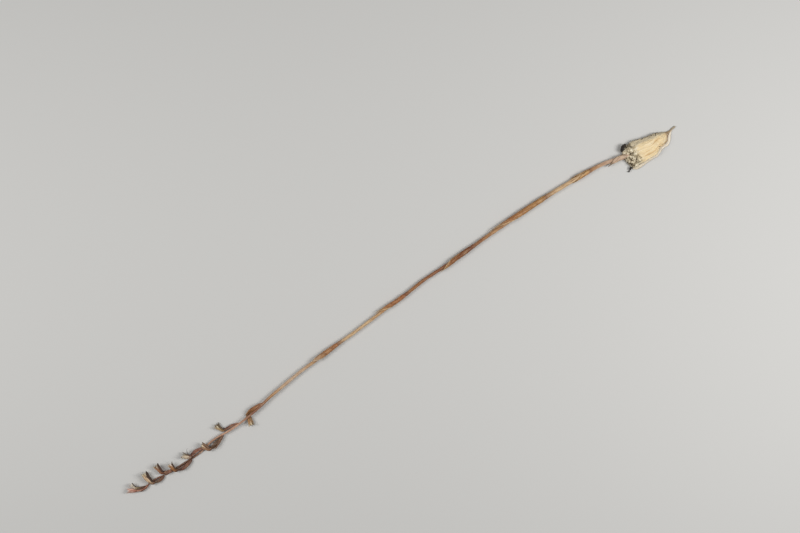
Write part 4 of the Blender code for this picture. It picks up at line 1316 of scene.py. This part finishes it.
class ORCHID_OT_stage(bpy.types.Operator):
    """Sets the plain floor, the two side lamps, the soft surround and the camera straight above"""

    bl_idname = "orchid.stage"
    bl_label = "Studio"

    def execute(self, context):
        settings = context.scene.orchid_studio
        fresh()
        bpy.ops.mesh.primitive_plane_add(size=4.0)
        floor = context.object
        floor.name = "floor"
        paper, _, shader = new_material("plain_pale_floor")
        shader.inputs["Base Color"].default_value = settings.floor
        shader.inputs["Roughness"].default_value = 0.9
        floor.data.materials.append(paper)

        middle = spot(*VIEW_MIDDLE, 0.0)
        angle = math.radians(VIEW_TURN)
        right = Vector((math.cos(angle), math.sin(angle), 0.0))
        if not settings.shadowless:
            for name, side, power in (("lamp_left", -1, 1.0), ("lamp_right", 1, settings.balance)):
                place = middle + right * LAMP_REACH * side + Vector((0, 0, LAMP_HEIGHT))
                bpy.ops.object.light_add(type="AREA", location=place)
                lamp = context.object
                lamp.name = name
                lamp.data.shape = "RECTANGLE"
                lamp.data.size, lamp.data.size_y = LAMP_SIZE
                lamp.data.energy = settings.lamps * power
                lamp.rotation_euler = (middle - place).to_track_quat("-Z", "Y").to_euler()
        world = bpy.data.worlds.new("soft_surround")
        world.use_nodes = True
        surround = world.node_tree.nodes["Background"].inputs
        surround["Color"].default_value = (1.0, 1.0, 1.0, 1.0)
        surround["Strength"].default_value = 0.2
        context.scene.world = world
        context.scene.view_settings.view_transform = "Standard"

        place = middle + Vector((0, 0, settings.height))
        bpy.ops.object.camera_add(location=place, rotation=(0, 0, angle))
        camera = context.object
        camera.data.sensor_width = SENSOR
        camera.data.lens = SENSOR * settings.height / (VIEW_WIDTH * MM)
        camera.data.clip_start = 0.01
        camera.data.clip_end = 10.0
        context.scene.camera = camera
        return {"FINISHED"}


class ORCHID_PT_panel(bpy.types.Panel):
    """Lists the pieces in the order in which they are made"""

    bl_idname = "ORCHID_PT_panel"
    bl_label = "Dried ground orchid"
    bl_space_type = "VIEW_3D"
    bl_region_type = "UI"
    bl_category = "Orchid"

    def draw(self, context):
        for name, group in SETTINGS.items():
            column = self.layout.column()
            for setting in group.__annotations__:
                column.prop(getattr(context.scene, name), setting)
        for operator in OPERATORS:
            self.layout.operator(operator.bl_idname)


SETTINGS = {
    "orchid_stem": StemSizes,
    "orchid_bloom": BloomSizes,
    "orchid_root": RootSizes,
    "orchid_studio": StudioSettings,
}
OPERATORS = (
    ORCHID_OT_scape, ORCHID_OT_sheaths, ORCHID_OT_ovaries, ORCHID_OT_bracts, ORCHID_OT_flowers,
    ORCHID_OT_hairs, ORCHID_OT_root, ORCHID_OT_skin, ORCHID_OT_stubs, ORCHID_OT_soil, ORCHID_OT_root_hairs,
    ORCHID_OT_stage,
)
CLASSES = (*SETTINGS.values(), *OPERATORS, ORCHID_PT_panel)


def register():
    for kind in CLASSES:
        bpy.utils.register_class(kind)
    for name, group in SETTINGS.items():
        setattr(bpy.types.Scene, name, PointerProperty(type=group))


def unregister():
    for name in SETTINGS:
        delattr(bpy.types.Scene, name)
    for kind in reversed(CLASSES):
        bpy.utils.unregister_class(kind)


def main():
    register()
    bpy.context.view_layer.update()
    bpy.ops.orchid.scape()
    bpy.ops.orchid.sheaths()
    bpy.ops.orchid.ovaries()
    bpy.ops.orchid.bracts()
    bpy.ops.orchid.flowers()
    bpy.ops.orchid.hairs()
    bpy.ops.orchid.root()
    bpy.ops.orchid.skin()
    bpy.ops.orchid.stubs()
    bpy.ops.orchid.soil()
    bpy.ops.orchid.root_hairs()
    bpy.ops.orchid.stage()


if __name__ == "__main__":
    main()
